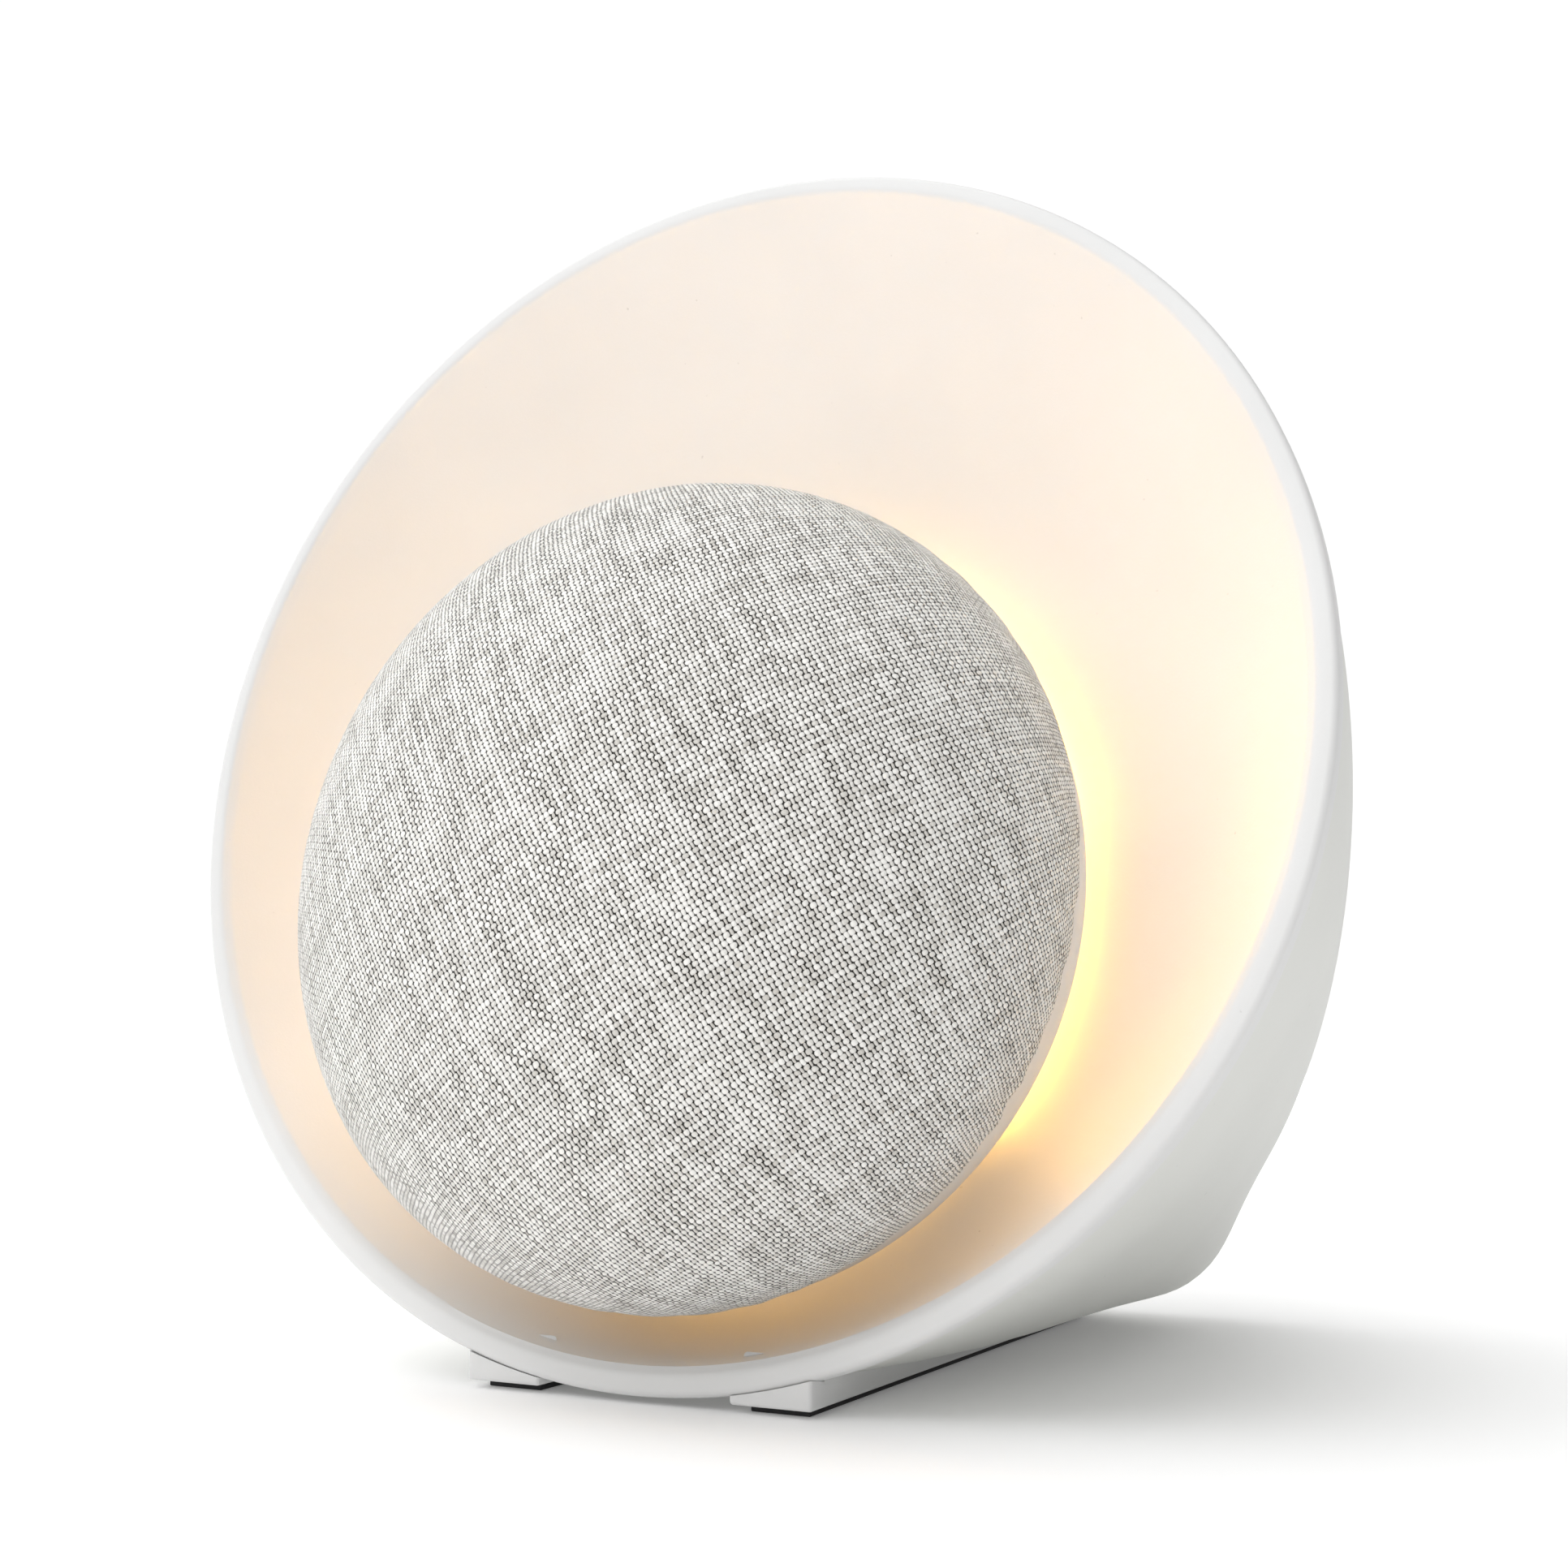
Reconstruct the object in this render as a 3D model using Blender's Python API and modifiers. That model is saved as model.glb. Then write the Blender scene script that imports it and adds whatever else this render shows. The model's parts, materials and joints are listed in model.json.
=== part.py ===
"""Leaning bowl lamp with a fabric-covered smart speaker pod, modelled piece by piece."""
import math

import bmesh
import bpy
from mathutils import Matrix, Vector

for existing in list(bpy.data.objects):
    bpy.data.objects.remove(existing, do_unlink=True)

# ---------------------------------------------------------------- driving sizes, metres
GAP = 0.0003                # clearance between two pieces that touch
OVERRUN = 0.0100            # how far a cutter runs past what it cuts
LEAN = math.radians(9.2)    # the rim's lean backwards
RIM_RADIUS = 0.0765
RIM_FLAT = 0.0029           # width of the flat front face
LIP_ROUND = 0.0008
LIP_DEPTH = 0.0030
RIM_CLEAR = 0.0010          # lowest point of the rim above the table

DISH_WALL = 0.0023
DISH_DEPTH = 0.0150
DISH_CROWN = 2.2            # how hollow the dish is
SPIGOT_DEPTH = 0.0033
SPIGOT_CLEAR = 0.0010       # between the spigot and the shell around it
BOTTOM_MARGIN = 0.0092      # dish between rim and light ring at its lowest, narrowest place

SHELL_WALL = 0.0022
SEAM_STEP = 0.0006          # the shell sits this far inside the lip
SHELL_DEPTH = 0.0816        # to where the back edge starts to turn
SHELL_TAPER = 0.0182        # radius lost over that depth
SHELL_DROP = 0.0214         # how far the section centres sink
TAPER_POWER = 1.45
DROP_POWER = 1.2
BACK_ROUND = 0.0100
UNDERSIDE = 0.0036          # height of the flat underside at y = 0
UNDERSIDE_FALL = 0.034      # how fast it sinks towards the back
FLOOR_START = 0.0163        # where the flat underside begins
FLOOR_WALL = 0.0027
HEEL_BULGE = 0.0038
HEEL_ANGLE = math.radians(38.0)
HEEL_SPREAD = math.radians(10.0)
HEEL_START = 0.3            # shares of the shell depth where the heel begins and is full
HEEL_FULL = 0.9

POD_RADIUS = 0.0490
POD_BULGE = 0.0324
POD_POWER = 2.1
NECK_INSET = 0.0070
POD_BACK = 0.0188
BASE_WALL = 0.0020
BASE_TOP = 0.0035
SKIRT_DEPTH = 0.0032
FABRIC = 0.0008
GRILLE_WALL = 0.0014
GRILLE_HOLE = 0.0018

LIGHT_WIDTH = 0.0022
LIGHT_THICK = 0.0020
LED_THICK = 0.0008
RING_THICK = 0.0030
RING_WIDTH = 0.0180
RING_OVERLAP = 0.0021

HARNESS_RADIUS = 0.0016
HARNESS_LEAVE = 0.0300      # how strongly it runs on from the pod and into the board
HARNESS_ARRIVE = 0.0220
HARNESS_POINTS = 14

DRIVER_RADIUS = 0.0220
DRIVER_FRONT = 0.0130
DRIVER_BACK = 0.0090
FLANGE_THICK = 0.0012
MAGNET_RADIUS = 0.0138
POLE_RADIUS = 0.0066
COIL_RADIUS = 0.0070
COIL_WALL = 0.0005
CONE_WALL = 0.0006
CARRIER_WALL = 0.0015
BOARD_THICK = 0.0015

RAIL_X = 0.0170
RAIL_WIDTH = 0.0098
RAIL_SETBACK = 0.0006       # rail's front behind the front of the lip above it
RAIL_BACK = 0.0812
RAIL_TALL = 0.0050
RAIL_THIN = 0.0012          # least thickness, where the rail is let into the shell
RAIL_CLEAR = 0.0009         # between a rail and the curved shell above it
PAD_WIDTH = 0.0071
PAD_THICK = 0.0006
PAD_INSET = 0.0025          # pad's front behind the rail's front
PAD_END_INSET = 0.0008

BALLAST_THICK = 0.0070
BALLAST_FRONT = 0.0260
BALLAST_LENGTH = 0.0400
BALLAST_SIDE_CLEAR = 0.0010

CAPACITOR_RADIUS = 0.0040
CAPACITOR_LENGTH = 0.0115
INDUCTOR_RADIUS = 0.0060
INDUCTOR_LENGTH = 0.0080
BOARD_WIDTH = 0.0560
BOARD_HEIGHT = 0.0460
BOARD_LOW = 0.0160
POST_RADIUS = 0.0026
POST_LENGTH = 0.0075
POST_INSET = 0.0040
SCREW_SHANK = 0.0012
SCREW_HEAD = 0.0024
SCREW_HEAD_THICK = 0.0015

INLET_Z = 0.0235
INLET_NOSE = 0.0042
INLET_BORE = 0.0029
INLET_DEPTH = 0.0080
INLET_PIN = 0.0008
INLET_BODY = 0.0104
CONTROL_X = 0.0170
CONTROL_Z = 0.0360
BUTTON_RADIUS = 0.0047
BUTTON_TRAVEL = 0.0005
BUTTON_PROUD = 0.0010
BUTTON_FLANGE = 0.0014      # how far its inner flange stands out all round
BUTTON_STEM = 0.0020
SWITCH_SIZE = 0.0060
SLIDER_WIDTH = 0.0042
SLIDER_HEIGHT = 0.0032
SLIDER_TRAVEL = 0.0030
COVER_THICK = 0.0010
SLIDER_COVER = 0.0010       # how far its inner cover laps the slot all round
MUTE_SWITCH_WIDTH = 0.0100
MUTE_SWITCH_HEIGHT = 0.0046
VENT_COUNT = 5
VENT_LENGTH = 0.0240
VENT_HEIGHT = 0.0020
VENT_PITCH = 0.0042
VENT_LOW = 0.0640

BIG_STEPS = 64
POD_STEPS = 52
POD_POINTS = 10
DRIVER_STEPS = 32
SMALL_STEPS = 28

# ---------------------------------------------------------------- derived places
RIM_CENTRE = Vector((0.0, 0.0, RIM_CLEAR + RIM_RADIUS * math.cos(LEAN)))
RIM_FRAME = Matrix.Translation(RIM_CENTRE) @ Matrix.Rotation(math.pi / 2 - LEAN, 4, "X")
SEAM_RADIUS = RIM_RADIUS - SEAM_STEP
SEAM_DEPTH = LIP_DEPTH + GAP
SPIGOT_RADIUS = SEAM_RADIUS - SHELL_WALL - SPIGOT_CLEAR
DISH_RADIUS = RIM_RADIUS - RIM_FLAT - GAP
NECK_RADIUS = POD_RADIUS - NECK_INSET
LIGHT_INNER = NECK_RADIUS + GAP
LIGHT_OUTER = LIGHT_INNER + LIGHT_WIDTH
HOLE_RADIUS = LIGHT_OUTER + GAP
POD_DROP = DISH_RADIUS - HOLE_RADIUS - BOTTOM_MARGIN
POD_FRAME = RIM_FRAME @ Matrix.Translation((0.0, -POD_DROP, 0.0))
BACK_Y = SHELL_DEPTH + BACK_ROUND
BACK_INNER_Y = BACK_Y - SHELL_WALL
BOARD_BACK_Y = BACK_INNER_Y - POST_LENGTH - GAP
BOARD_FRONT_Y = BOARD_BACK_Y - BOARD_THICK
RING_FRONT = POD_BACK + GAP
RING_BACK = RING_FRONT + RING_THICK
LED_FRONT = DISH_DEPTH + DISH_WALL + GAP
LED_BACK = LED_FRONT + LED_THICK
RAIL_FRONT = RAIL_SETBACK - RIM_RADIUS * math.sin(LEAN)
RAIL_BOTTOM = PAD_THICK + GAP
RAIL_TOP = RAIL_BOTTOM + RAIL_THIN

parts = bpy.data.collections.new("bowl_speaker_lamp")
cutters = bpy.data.collections.new("cutters")
bpy.context.scene.collection.children.link(parts)
bpy.context.scene.collection.children.link(cutters)


# ---------------------------------------------------------------- helpers
def finish(obj, colour, roughness, metallic=0.0):
    """Give a piece its own material and smooth shading, and file it with the parts."""
    material = bpy.data.materials.new(obj.name)
    material.use_nodes = True
    shader = material.node_tree.nodes["Principled BSDF"]
    shader.inputs["Base Color"].default_value = (*colour, 1.0)
    shader.inputs["Roughness"].default_value = roughness
    shader.inputs["Metallic"].default_value = metallic
    obj.data.materials.clear()
    obj.data.materials.append(material)
    for used in list(obj.users_collection):
        used.objects.unlink(obj)
    parts.objects.link(obj)
    return obj


def as_cutter(obj):
    """File a Boolean operand with the cutters, drawn as wire and never rendered."""
    for used in list(obj.users_collection):
        used.objects.unlink(obj)
    cutters.objects.link(obj)
    obj.hide_render = True
    obj.display_type = "WIRE"
    return obj


def boolean(obj, operand, operation="DIFFERENCE"):
    modifier = obj.modifiers.new(operand.name, "BOOLEAN")
    modifier.operation = operation
    modifier.object = operand
    modifier.solver = "EXACT"


def from_bmesh(name, bm, matrix=Matrix()):
    mesh = bpy.data.meshes.new(name)
    bmesh.ops.recalc_face_normals(bm, faces=bm.faces)
    bm.to_mesh(mesh)
    bm.free()
    obj = bpy.data.objects.new(name, mesh)
    bpy.context.scene.collection.objects.link(obj)
    obj.matrix_world = matrix
    return obj


def turned(name, profile, matrix=POD_FRAME, steps=SMALL_STEPS, closed=True):
    """Turn (radius, height) points about local Z; the outer side runs from top to bottom."""
    count = len(profile)
    edges = [(i, i + 1) for i in range(count - 1)]
    if closed:
        edges.append((count - 1, 0))
    mesh = bpy.data.meshes.new(name)
    mesh.from_pydata([(radius, 0.0, height) for radius, height in profile], edges, [])
    obj = bpy.data.objects.new(name, mesh)
    bpy.context.scene.collection.objects.link(obj)
    screw = obj.modifiers.new("Turn", "SCREW")
    screw.axis = "Z"
    screw.steps = steps
    screw.render_steps = steps
    screw.use_merge_vertices = True
    screw.merge_threshold = 0.00001
    screw.use_smooth_shade = True
    obj.matrix_world = matrix
    return obj


def box(name, size, centre, matrix=Matrix(), bevel=0.0):
    """A box of the given size; its origin is its centre."""
    bm = bmesh.new()
    bmesh.ops.create_cube(bm, size=1.0)
    bmesh.ops.scale(bm, vec=size, verts=bm.verts)
    obj = from_bmesh(name, bm, matrix @ Matrix.Translation(centre))
    if bevel:
        rounded = obj.modifiers.new("Rounded", "BEVEL")
        rounded.width = bevel
        rounded.segments = 2
    return obj


def add_box(bm, size, centre):
    made = bmesh.ops.create_cube(bm, size=1.0)["verts"]
    bmesh.ops.scale(bm, vec=size, verts=made)
    bmesh.ops.translate(bm, vec=centre, verts=made)


def add_rod(bm, radius, start, end, segments=16):
    """A closed cylinder between two points."""
    span = Vector(end) - Vector(start)
    made = bmesh.ops.create_cone(bm, cap_ends=True, segments=segments, radius1=radius,
                                 radius2=radius, depth=span.length)["verts"]
    turn = Vector((0.0, 0.0, 1.0)).rotation_difference(span).to_matrix().to_4x4()
    middle = (Vector(start) + Vector(end)) / 2
    bmesh.ops.transform(bm, matrix=Matrix.Translation(middle) @ turn, verts=made)


def smooth(obj, degrees=35.0):
    obj.data.shade_smooth()
    obj.data.set_sharp_from_angle(angle=math.radians(degrees))
    return obj


def skin(bm, rings, wrap):
    """Join rings of equal length into a band; wrap joins the last ring to the first."""
    rows = [[bm.verts.new(point) for point in ring] for ring in rings]
    count = len(rows[0])
    pairs = list(zip(rows, rows[1:]))
    if wrap:
        pairs.append((rows[-1], rows[0]))
    for near, far in pairs:
        for i in range(count):
            j = (i + 1) % count
            bm.faces.new((near[i], near[j], far[j], far[i]))
    return rows


def arc(centre, radius, start, end, steps):
    """Points on an arc, angles in degrees from +radius towards +height."""
    points = []
    for i in range(steps + 1):
        angle = math.radians(start + (end - start) * i / steps)
        points.append((centre[0] + radius * math.cos(angle), centre[1] + radius * math.sin(angle)))
    return points


def pod_curve(radius, bulge, steps):
    """Half outline of the pod's pebble front, from the axis out to the widest circle."""
    points = []
    for i in range(steps + 1):
        angle = math.pi / 2 * (1.0 - i / steps)
        points.append((radius * max(math.cos(angle), 0.0) ** (2 / POD_POWER) if i else 0.0,
                       bulge * math.sin(angle) ** (2 / POD_POWER) if i < steps else 0.0))
    return points


def pod_width(radius, bulge, height):
    return radius * (1.0 - (height / bulge) ** POD_POWER) ** (1 / POD_POWER)


# ---------------------------------------------------------------- bowl and shell
def dish_depth(share):
    return LIP_ROUND + (DISH_DEPTH - LIP_ROUND) * (1.0 - (1.0 - share) ** DISH_CROWN)


def reflector_bowl():
    """The white dish: a circular leaning rim that runs back off centre to the light ring."""
    def ring(radius, depth, drop=0.0):
        points = []
        for i in range(BIG_STEPS):
            angle = math.tau * i / BIG_STEPS
            local = Vector((radius * math.sin(angle), radius * math.cos(angle) - drop, -depth))
            points.append(RIM_FRAME @ local)
        return points

    def dish_ring(share, behind=0.0):
        radius = DISH_RADIUS - (DISH_RADIUS - HOLE_RADIUS) * share
        return ring(radius, dish_depth(share) + behind, POD_DROP * share)

    quarter = [math.radians(90 * i / 3) for i in range(3, -1, -1)]
    lip = [ring(RIM_RADIUS - LIP_ROUND * (1.0 - math.sin(turn)), LIP_ROUND * (1.0 - math.cos(turn)))
           for turn in quarter]
    shares = [i / 6 for i in range(7)]
    rings = [ring(SPIGOT_RADIUS, LIP_DEPTH), ring(RIM_RADIUS, LIP_DEPTH)] + lip
    rings.append(ring(DISH_RADIUS + GAP, 0.0))
    rings += [dish_ring(share) for share in shares]
    rings += [dish_ring(share, DISH_WALL) for share in reversed(shares[1:])]
    rings.append(ring(SPIGOT_RADIUS, LIP_DEPTH + SPIGOT_DEPTH))
    bm = bmesh.new()
    skin(bm, rings, wrap=True)
    finish(smooth(from_bmesh("reflector_bowl", bm)), (0.86, 0.86, 0.85), 0.42)


def section_centre(share):
    return Vector((0.0, SHELL_DEPTH * share, RIM_CENTRE.z - SHELL_DROP * share ** DROP_POWER))


def underside(y):
    return UNDERSIDE - UNDERSIDE_FALL * y


def shell_shares():
    """Sections of the shell from the seam to the back edge, as shares of its depth."""
    start = FLOOR_START / SHELL_DEPTH
    return [SEAM_DEPTH / SHELL_DEPTH] + [start + (1.0 - start) * i / 5 for i in range(6)]


def shell_ring(share, inset, floor, turn=0.0):
    """One section of the rear shell; turn (0 to 90 degrees) carries it round the back edge."""
    first = SEAM_DEPTH / SHELL_DEPTH
    travel = (share - first) / (1.0 - first)
    swell = HEEL_BULGE * max(0.0, min(1.0, (travel - HEEL_START) / (HEEL_FULL - HEEL_START)))
    edge = BACK_ROUND - inset
    radius = SEAM_RADIUS - SHELL_TAPER * travel ** TAPER_POWER - inset - edge * (1.0 - math.cos(turn))
    lean = LEAN * (1.0 - travel) ** 2
    centre = section_centre(share) + Vector((0.0, edge * math.sin(turn), 0.0))
    if travel == 0.0:
        centre = RIM_FRAME @ Vector((0.0, 0.0, -SEAM_DEPTH))
    up = Vector((0.0, math.sin(lean), math.cos(lean)))
    points = []
    for i in range(BIG_STEPS):
        angle = math.tau * i / BIG_STEPS
        from_below = abs(math.pi - angle)
        bulge = swell * math.cos(turn) * math.exp(-((from_below - HEEL_ANGLE) / HEEL_SPREAD) ** 2)
        reach = radius + bulge
        point = centre + Vector((reach * math.sin(angle), 0.0, 0.0)) + up * reach * math.cos(angle)
        if travel > 0.0:
            point.z = max(point.z, underside(point.y) + floor)
        points.append(point)
    return points


def shell_rings(inset, floor):
    """All sections at one depth under the surface, ending in the rounded back edge."""
    rings = [shell_ring(share, inset, floor) for share in shell_shares()]
    return rings + [shell_ring(1.0, inset, floor, math.radians(angle)) for angle in (35, 65, 90)]


def flat_half_width(share):
    """Half the width of the flat floor inside the shell."""
    ring = shell_ring(share, SHELL_WALL, FLOOR_WALL)
    return max(point.x for point in ring if point.z - underside(point.y) < FLOOR_WALL + GAP / 10)


def loft(name, rings):
    """A closed solid through the rings."""
    bm = bmesh.new()
    rows = skin(bm, rings, wrap=False)
    bm.faces.new(rows[0])
    bm.faces.new(rows[-1])
    return from_bmesh(name, bm)


def rear_shell():
    """Oblique shell behind the rim with a flat underside, board posts and control openings."""
    outer = shell_rings(0.0, 0.0)
    shell = smooth(loft("rear_shell", outer[::-1] + shell_rings(SHELL_WALL, FLOOR_WALL)))

    posts = bmesh.new()
    holes = bmesh.new()
    for x, z in post_places():
        add_rod(posts, POST_RADIUS, (x, BACK_INNER_Y - POST_LENGTH, z), (x, BACK_Y - GAP * 3, z))
        add_rod(holes, SCREW_SHANK + GAP, (x, BOARD_BACK_Y - POST_LENGTH, z), (x, BACK_INNER_Y, z), 12)
    outside = BACK_Y + POST_LENGTH
    inside = BACK_INNER_Y - GAP * 3
    add_rod(holes, INLET_NOSE + GAP, (0.0, inside, INLET_Z), (0.0, outside, INLET_Z), 24)
    add_rod(holes, BUTTON_RADIUS + GAP, (-CONTROL_X, inside, CONTROL_Z),
            (-CONTROL_X, outside, CONTROL_Z), 24)
    depth = outside - inside
    middle = (outside + inside) / 2
    slot = SLIDER_WIDTH + SLIDER_TRAVEL + 2 * GAP
    add_box(holes, (slot, depth, SLIDER_HEIGHT + 2 * GAP), (CONTROL_X, middle, CONTROL_Z))
    for i in range(VENT_COUNT):
        add_box(holes, (VENT_LENGTH, depth, VENT_HEIGHT), (0.0, middle, VENT_LOW + VENT_PITCH * i))
    rail_grooves(holes, RAIL_WIDTH + 2 * GAP, RAIL_TOP + GAP, RAIL_BACK + GAP)
    boolean(shell, as_cutter(from_bmesh("shell_posts", posts)), "UNION")
    boolean(shell, as_cutter(from_bmesh("shell_openings", holes)))
    finish(shell, (0.80, 0.81, 0.79), 0.45)


def post_places():
    across = BOARD_WIDTH / 2 - POST_INSET
    return [(side * across, BOARD_LOW + POST_INSET + level * (BOARD_HEIGHT - 2 * POST_INSET))
            for side in (-1, 1) for level in (0, 1)]


def rail_grooves(bm, width, top, back):
    """Grooves along the underside, open to the front and below."""
    length = back - RAIL_FRONT + OVERRUN
    for side in (-1, 1):
        add_box(bm, (width, length, OVERRUN), (side * RAIL_X, back - length / 2, top - OVERRUN / 2))


def feet():
    """Two wedge rails let into the flat underside, each with a narrower rubber pad."""
    length = RAIL_BACK - RAIL_FRONT
    middle = (RAIL_BACK + RAIL_FRONT) / 2
    above = as_cutter(loft("above_rails", shell_rings(-RAIL_CLEAR, -RAIL_CLEAR)))
    bm = bmesh.new()
    rail_grooves(bm, RAIL_WIDTH + 4 * GAP, RAIL_TOP, RAIL_BACK + 2 * GAP)
    boolean(above, as_cutter(from_bmesh("rail_room", bm)))
    disc = bmesh.new()
    add_rod(disc, RIM_RADIUS + GAP, (0.0, 0.0, OVERRUN), (0.0, 0.0, -LIP_DEPTH - GAP), BIG_STEPS)
    lip = as_cutter(from_bmesh("above_lip", disc, RIM_FRAME))
    pad_front = RAIL_FRONT + PAD_INSET
    pad_back = RAIL_BACK - PAD_END_INSET
    for side, name in ((-1, "left"), (1, "right")):
        rail = box("foot_rail_" + name, (RAIL_WIDTH, length, RAIL_TALL),
                   (side * RAIL_X, middle, RAIL_BOTTOM + RAIL_TALL / 2))
        boolean(rail, lip)
        boolean(rail, above)
        finish(rail, (0.86, 0.86, 0.85), 0.45)
        pad = box("foot_pad_" + name, (PAD_WIDTH, pad_back - pad_front, PAD_THICK),
                  (side * RAIL_X, (pad_front + pad_back) / 2, PAD_THICK / 2))
        finish(pad, (0.02, 0.02, 0.02), 0.8)


def ballast_block():
    """Iron block on the sloping floor, between the shell's sides."""
    rear = BALLAST_FRONT + BALLAST_LENGTH
    half = min(flat_half_width(y / SHELL_DEPTH) for y in (BALLAST_FRONT, rear)) - BALLAST_SIDE_CLEAR
    middle = (BALLAST_FRONT + rear) / 2
    rest = Matrix.Translation((0.0, middle, underside(middle) + FLOOR_WALL + GAP))
    rest = rest @ Matrix.Rotation(-math.atan(UNDERSIDE_FALL), 4, "X")
    block = box("ballast_block", (2 * half, BALLAST_LENGTH, BALLAST_THICK),
                (0.0, 0.0, BALLAST_THICK / 2), rest, bevel=0.001)
    finish(block, (0.25, 0.25, 0.26), 0.5, 0.9)


# ---------------------------------------------------------------- board and controls at the back
def power_board():
    board = box("power_board", (BOARD_WIDTH, BOARD_THICK, BOARD_HEIGHT),
                (0.0, (BOARD_BACK_Y + BOARD_FRONT_Y) / 2, BOARD_LOW + BOARD_HEIGHT / 2))
    holes = bmesh.new()
    for x, z in post_places():
        add_rod(holes, SCREW_SHANK + GAP, (x, BOARD_FRONT_Y - 0.002, z), (x, BOARD_BACK_Y + 0.002, z), 12)
    boolean(board, as_cutter(from_bmesh("board_holes", holes)))
    finish(board, (0.05, 0.25, 0.10), 0.5)
    profile = [(0.0, SCREW_HEAD_THICK), (SCREW_HEAD, SCREW_HEAD_THICK), (SCREW_HEAD, 0.0),
               (SCREW_SHANK, 0.0), (SCREW_SHANK, -POST_LENGTH), (0.0, -POST_LENGTH)]
    for number, (x, z) in enumerate(post_places(), 1):
        place = Matrix.Translation((x, BOARD_FRONT_Y - GAP, z)) @ Matrix.Rotation(math.pi / 2, 4, "X")
        screw = turned("board_screw_%d" % number, profile, place, 12, closed=False)
        finish(screw, (0.55, 0.55, 0.56), 0.35, 1.0)


def board_parts():
    """Capacitor and inductor on the board's front face, inlet socket on its rear face."""
    front = Matrix.Translation((0.0, BOARD_FRONT_Y - GAP, 0.0)) @ Matrix.Rotation(math.pi / 2, 4, "X")
    edge = 0.15 * CAPACITOR_RADIUS
    can = [(0.0, CAPACITOR_LENGTH), (CAPACITOR_RADIUS - edge, CAPACITOR_LENGTH),
           (CAPACITOR_RADIUS, CAPACITOR_LENGTH - edge), (CAPACITOR_RADIUS, 0.0), (0.0, 0.0)]
    capacitor = turned("storage_capacitor", can,
                       front @ Matrix.Translation((-0.0150, 0.0300, 0.0)), 24, closed=False)
    finish(capacitor, (0.08, 0.09, 0.12), 0.4)
    flange, waist = 0.17 * INDUCTOR_LENGTH, 0.25 * INDUCTOR_LENGTH
    winding = 0.77 * INDUCTOR_RADIUS
    drum = [(0.0, INDUCTOR_LENGTH), (INDUCTOR_RADIUS, INDUCTOR_LENGTH),
            (INDUCTOR_RADIUS, INDUCTOR_LENGTH - flange), (winding, INDUCTOR_LENGTH - waist),
            (winding, waist), (INDUCTOR_RADIUS, flange), (INDUCTOR_RADIUS, 0.0), (0.0, 0.0)]
    inductor = turned("drum_inductor", drum,
                      front @ Matrix.Translation((0.0140, 0.0300, 0.0)), 24, closed=False)
    finish(inductor, (0.06, 0.06, 0.06), 0.6)

    rear = BOARD_BACK_Y + GAP
    nose_end = BACK_Y - GAP
    body_end = BACK_INNER_Y - GAP
    bm = bmesh.new()
    add_rod(bm, INLET_NOSE, (0.0, rear + 0.001, INLET_Z), (0.0, nose_end, INLET_Z), 24)
    nose = as_cutter(from_bmesh("inlet_nose", bm))
    bm = bmesh.new()
    add_rod(bm, INLET_BORE, (0.0, nose_end - INLET_DEPTH, INLET_Z), (0.0, nose_end + OVERRUN, INLET_Z), 24)
    bore = as_cutter(from_bmesh("inlet_bore", bm))
    bm = bmesh.new()
    pin_end = nose_end - 0.001
    add_rod(bm, INLET_PIN, (0.0, pin_end - INLET_DEPTH, INLET_Z), (0.0, pin_end, INLET_Z), 12)
    pin = as_cutter(from_bmesh("inlet_pin", bm))
    inlet = box("power_inlet", (INLET_BODY, body_end - rear, INLET_BODY),
                (0.0, (rear + body_end) / 2, INLET_Z))
    boolean(inlet, nose, "UNION")
    boolean(inlet, bore)
    boolean(inlet, pin, "UNION")
    finish(inlet, (0.03, 0.03, 0.03), 0.45)


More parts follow.
